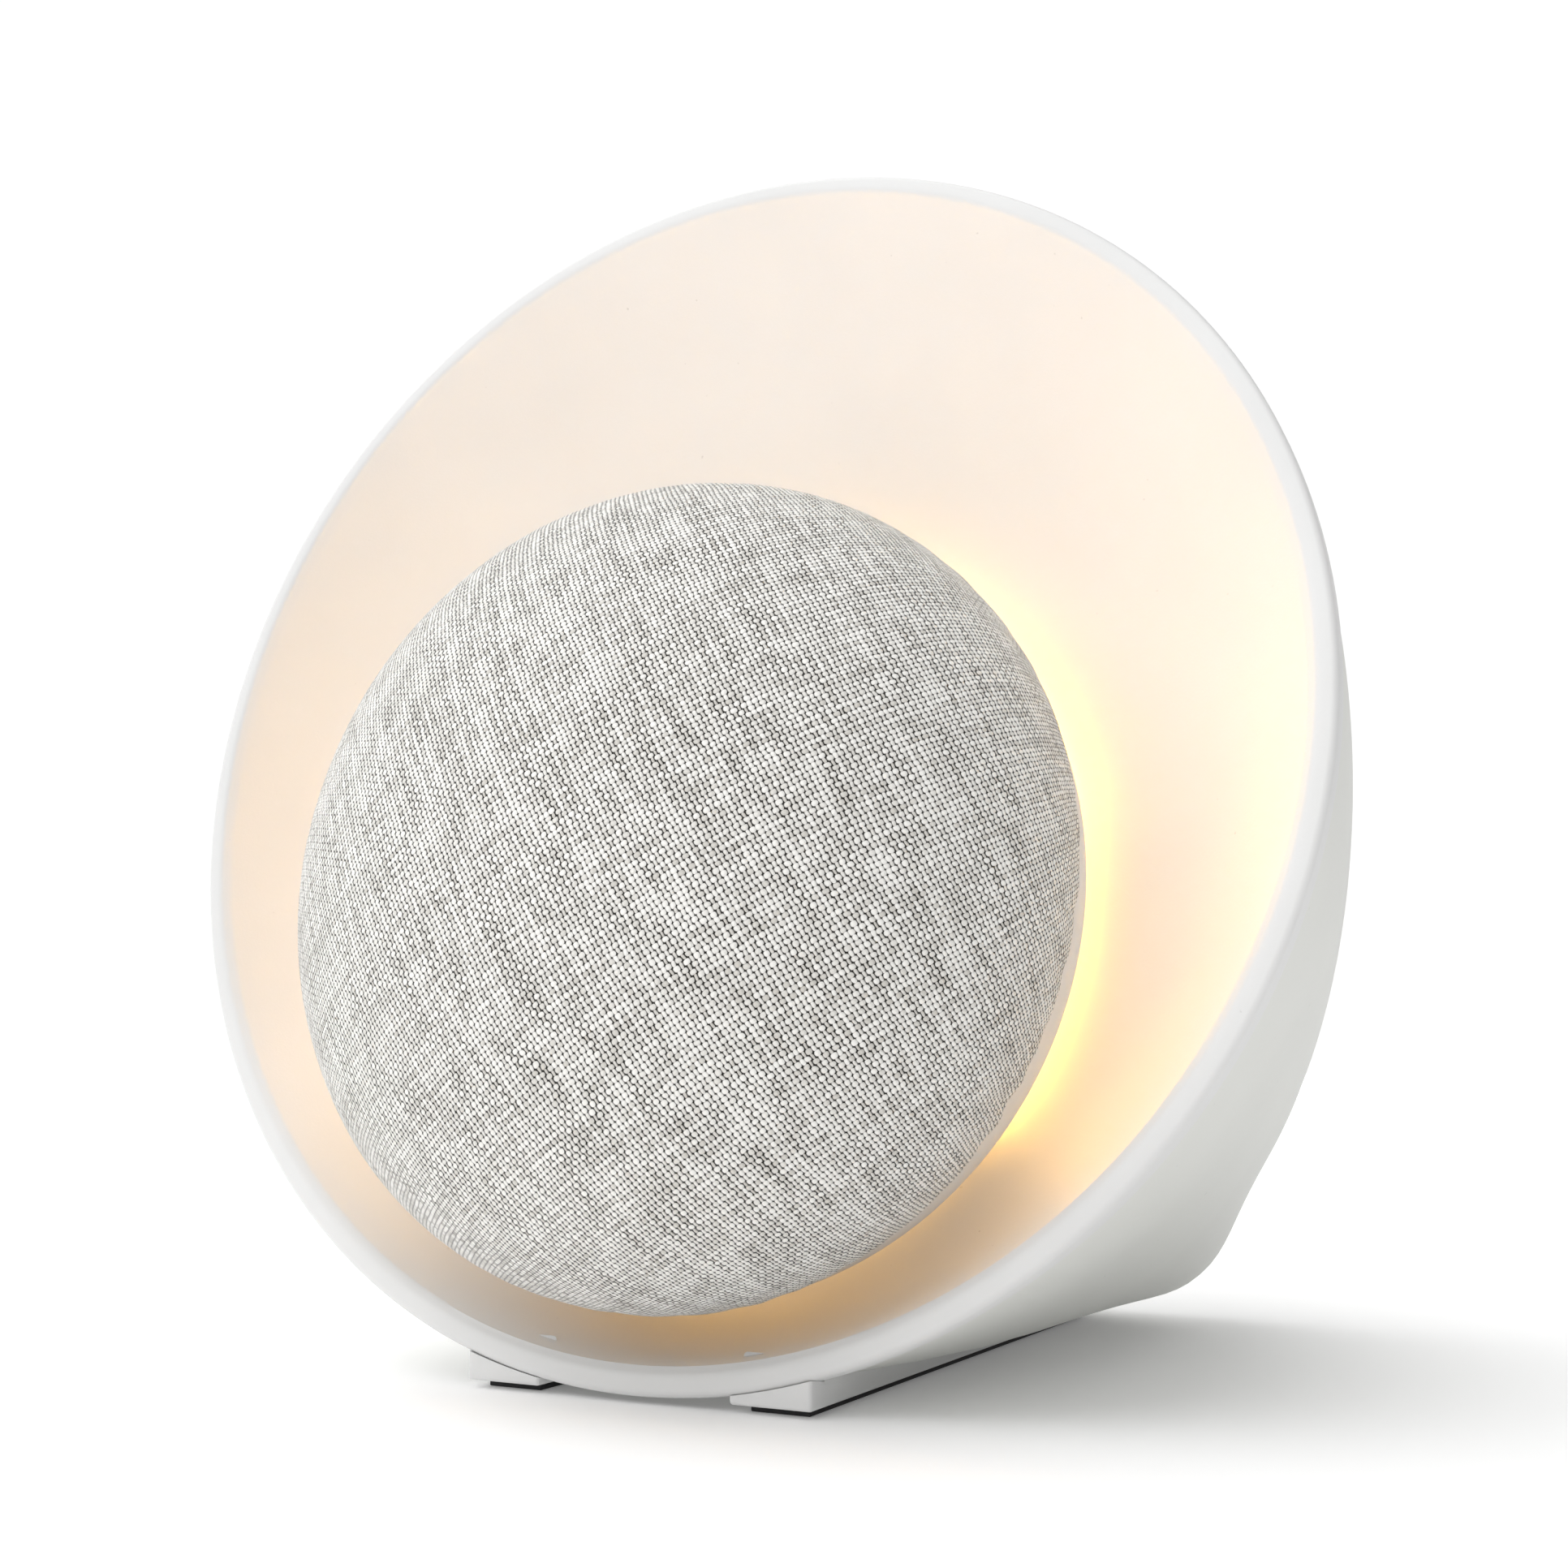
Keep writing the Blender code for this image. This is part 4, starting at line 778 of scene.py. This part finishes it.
def makeCloth():
    # a square grid laid round, so that the cloth has no seam or pinch at its crown
    profile = clothProfile()
    runs = np.concatenate([[0.0], np.cumsum(np.hypot(*np.diff(profile, axis=0).T))])
    total = runs[-1]
    n = hem["across"]
    a, b = np.meshgrid(np.linspace(-1, 1, n + 1), np.linspace(-1, 1, n + 1))
    a, b = a.ravel(), b.ravel()
    wide = np.abs(a) > np.abs(b)
    safeA = np.where(a == 0, 1, a)
    safeB = np.where(b == 0, 1, b)
    reach = np.where(wide, a, b)
    angle = np.where(wide, math.pi / 4 * b / safeA, math.pi / 2 - math.pi / 4 * a / safeB)
    angle = np.where(reach < 0, angle + math.pi, angle)
    run = np.abs(reach) * total
    radius = np.interp(run, runs, profile[:, 0])
    height = np.interp(run, runs, profile[:, 1])
    # small gathers where the cloth is pulled round the rim, and a hand-pulled unevenness
    near = np.clip((run / total - hem["from"]) / hem["over"], 0.0, 1.0) ** 2
    rng = np.random.default_rng(hem["seed"])
    gathers = np.zeros_like(angle)
    for wave in range(hem["gathers"]):
        count = hem["waves"] + wave * hem["gatherStep"]
        gathers += np.cos(count * angle + rng.uniform(0, math.tau)) / (1.0 + 0.5 * wave)
    patches = 0.35 + 0.65 * np.clip(np.cos(3 * angle + 0.6) + np.cos(5 * angle + 2.0), 0.0, 1.0)
    slack = np.zeros_like(angle)
    x, y = run * np.cos(angle), run * np.sin(angle)
    for wave in range(hem["slackWaves"]):
        turn, pitch = rng.uniform(0, math.tau), rng.uniform(*hem["slackPitch"])
        slack += np.sin(pitch * (x * math.cos(turn) + y * math.sin(turn)) + rng.uniform(0, math.tau))
    radius = radius * (1.0 - hem["pucker"] / podRadius * near * (1.0 + 0.4 * gathers) * patches)
    height = height + slack / hem["slackWaves"] * hem["uneven"] * (1.0 - near)
    local = np.stack([radius * np.cos(angle), radius * np.sin(angle), height], 1)
    points = local @ np.array(podPlace.to_3x3()).T + np.array(podCentre)
    faces = []
    for row in range(n):
        for column in range(n):
            i = row * (n + 1) + column
            faces.append((i, i + 1, i + n + 2, i + n + 1))
    mesh = bpy.data.meshes.new("podCloth")
    mesh.from_pydata(points.tolist(), [], faces)
    layer = mesh.uv_layers.new(name="cloth")
    cosine, sine = math.cos(cloth["angle"]), math.sin(cloth["angle"])
    u, v = x * cosine + y * sine, -x * sine + y * cosine
    index = np.zeros(len(mesh.loops), dtype=np.int32)
    mesh.loops.foreach_get("vertex_index", index)
    layer.data.foreach_set("uv", np.stack([u[index], v[index]], 1).astype(np.float32).ravel())
    mesh.shade_smooth()
    piece = newPiece("podCloth", mesh)
    fitted(piece, "fabric_cover")
    return piece


makeCup()
makeLight()
makeCloth()
print("pod done")


# ---- loudspeaker suspensions: the inner edge goes with the cone, the outer edge stays
flexing = {"surround": {"name": "surroundRoll", "innerLand": 0.0013, "outerLand": 0.0023},
           "spider": {"name": "spiderRing", "innerLand": 0.0006, "outerLand": 0.0010}}


def makeFlexing(node, name, innerLand, outerLand):
    mesh = nodes[node].data.copy()
    smoothed(mesh, 50.0)
    piece = dressed(newPiece(name, mesh), node)
    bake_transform(piece, "housing", "cone_assembly", start=podCentre, end=podCentre + forward * 0.01)
    # the share that follows the cone runs along the radius
    back = podPlace.inverted()
    places = [back @ vertex.co for vertex in mesh.vertices]
    radii = np.array([math.hypot(place.x, place.y) for place in places])
    low, high = radii.min() + innerLand, radii.max() - outerLand
    share = eased(np.clip((high - radii) / (high - low), 0.0, 1.0))
    mesh.attributes["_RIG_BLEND"].data.foreach_set("value", share.astype(np.float32))


for node, sizes in flexing.items():
    makeFlexing(node, **sizes)
print("suspensions done")


# ---- studio: white table, a big soft lamp from the upper left, a sky dark on the right
studio = {"table": 0.96, "tableLift": 0.09, "reach": 12.0, "sunFrom": (-0.34, -0.32, 0.88),
          "sunStrength": 2.1, "sunAngle": math.radians(84.0),
          "sky": 0.62, "dim": 0.12, "litSide": (-0.86, -0.05, 0.40), "dimFrom": -0.60, "litFrom": 0.08,
          "backdrop": 1.03, "behind": (-0.45, 0.89, 0.0), "backdropFrom": 0.45, "backdropFull": 0.70}


def makeStudio():
    reach = studio["reach"]
    mesh = bpy.data.meshes.new("table")
    mesh.from_pydata([(-reach, -reach, 0), (reach, -reach, 0), (reach, reach, 0), (-reach, reach, 0)], [],
                     [(0, 1, 2, 3)])
    table = newPiece("table", mesh)
    material, tree, shader = newFinish("tablePaper")
    white = studio["table"]
    fade = spread(tree, noise(tree, 3.0), 0.3, 0.7)
    tree.links.new(blendColour(tree, fade, (white, white, white), (white - 0.01,) * 3),
                   shader.inputs["Base Color"])
    shader.inputs["Roughness"].default_value = 0.9
    shader.inputs["Specular IOR Level"].default_value = 0.1
    shader.inputs["Emission Color"].default_value = (1.0, 1.0, 1.0, 1.0)
    shader.inputs["Emission Strength"].default_value = studio["tableLift"]
    mesh.materials.append(material)

    sunData = bpy.data.lights.new("softLamp", "SUN")
    sunData.energy = studio["sunStrength"]
    sunData.angle = studio["sunAngle"]
    sun = bpy.data.objects.new("softLamp", sunData)
    sun.rotation_euler = Vector(studio["sunFrom"]).to_track_quat("Z", "Y").to_euler()
    bpy.context.scene.collection.objects.link(sun)

    world = bpy.data.worlds.new("sky")
    world.use_nodes = True
    tree = world.node_tree
    place = tree.nodes.new("ShaderNodeTexCoord")

    def facing(way, low, high, toLow, toHigh):
        side = along(tree, place.outputs["Generated"], Vector(way).normalized())
        return spread(tree, side, low, high, toLow, toHigh, smooth=True)

    sky = facing(studio["litSide"], studio["dimFrom"], studio["litFrom"], studio["dim"], studio["sky"])
    back = facing(studio["behind"], studio["backdropFrom"], studio["backdropFull"], 0.0,
                  studio["backdrop"])
    backdrop = tree.nodes["Background"]
    backdrop.inputs["Color"].default_value = (1.0, 1.0, 1.0, 1.0)
    tree.links.new(calc(tree, "MAXIMUM", sky, back), backdrop.inputs["Strength"])
    bpy.context.scene.world = world
    bpy.context.scene.view_settings.view_transform = "Standard"


makeStudio()
print("studio done")
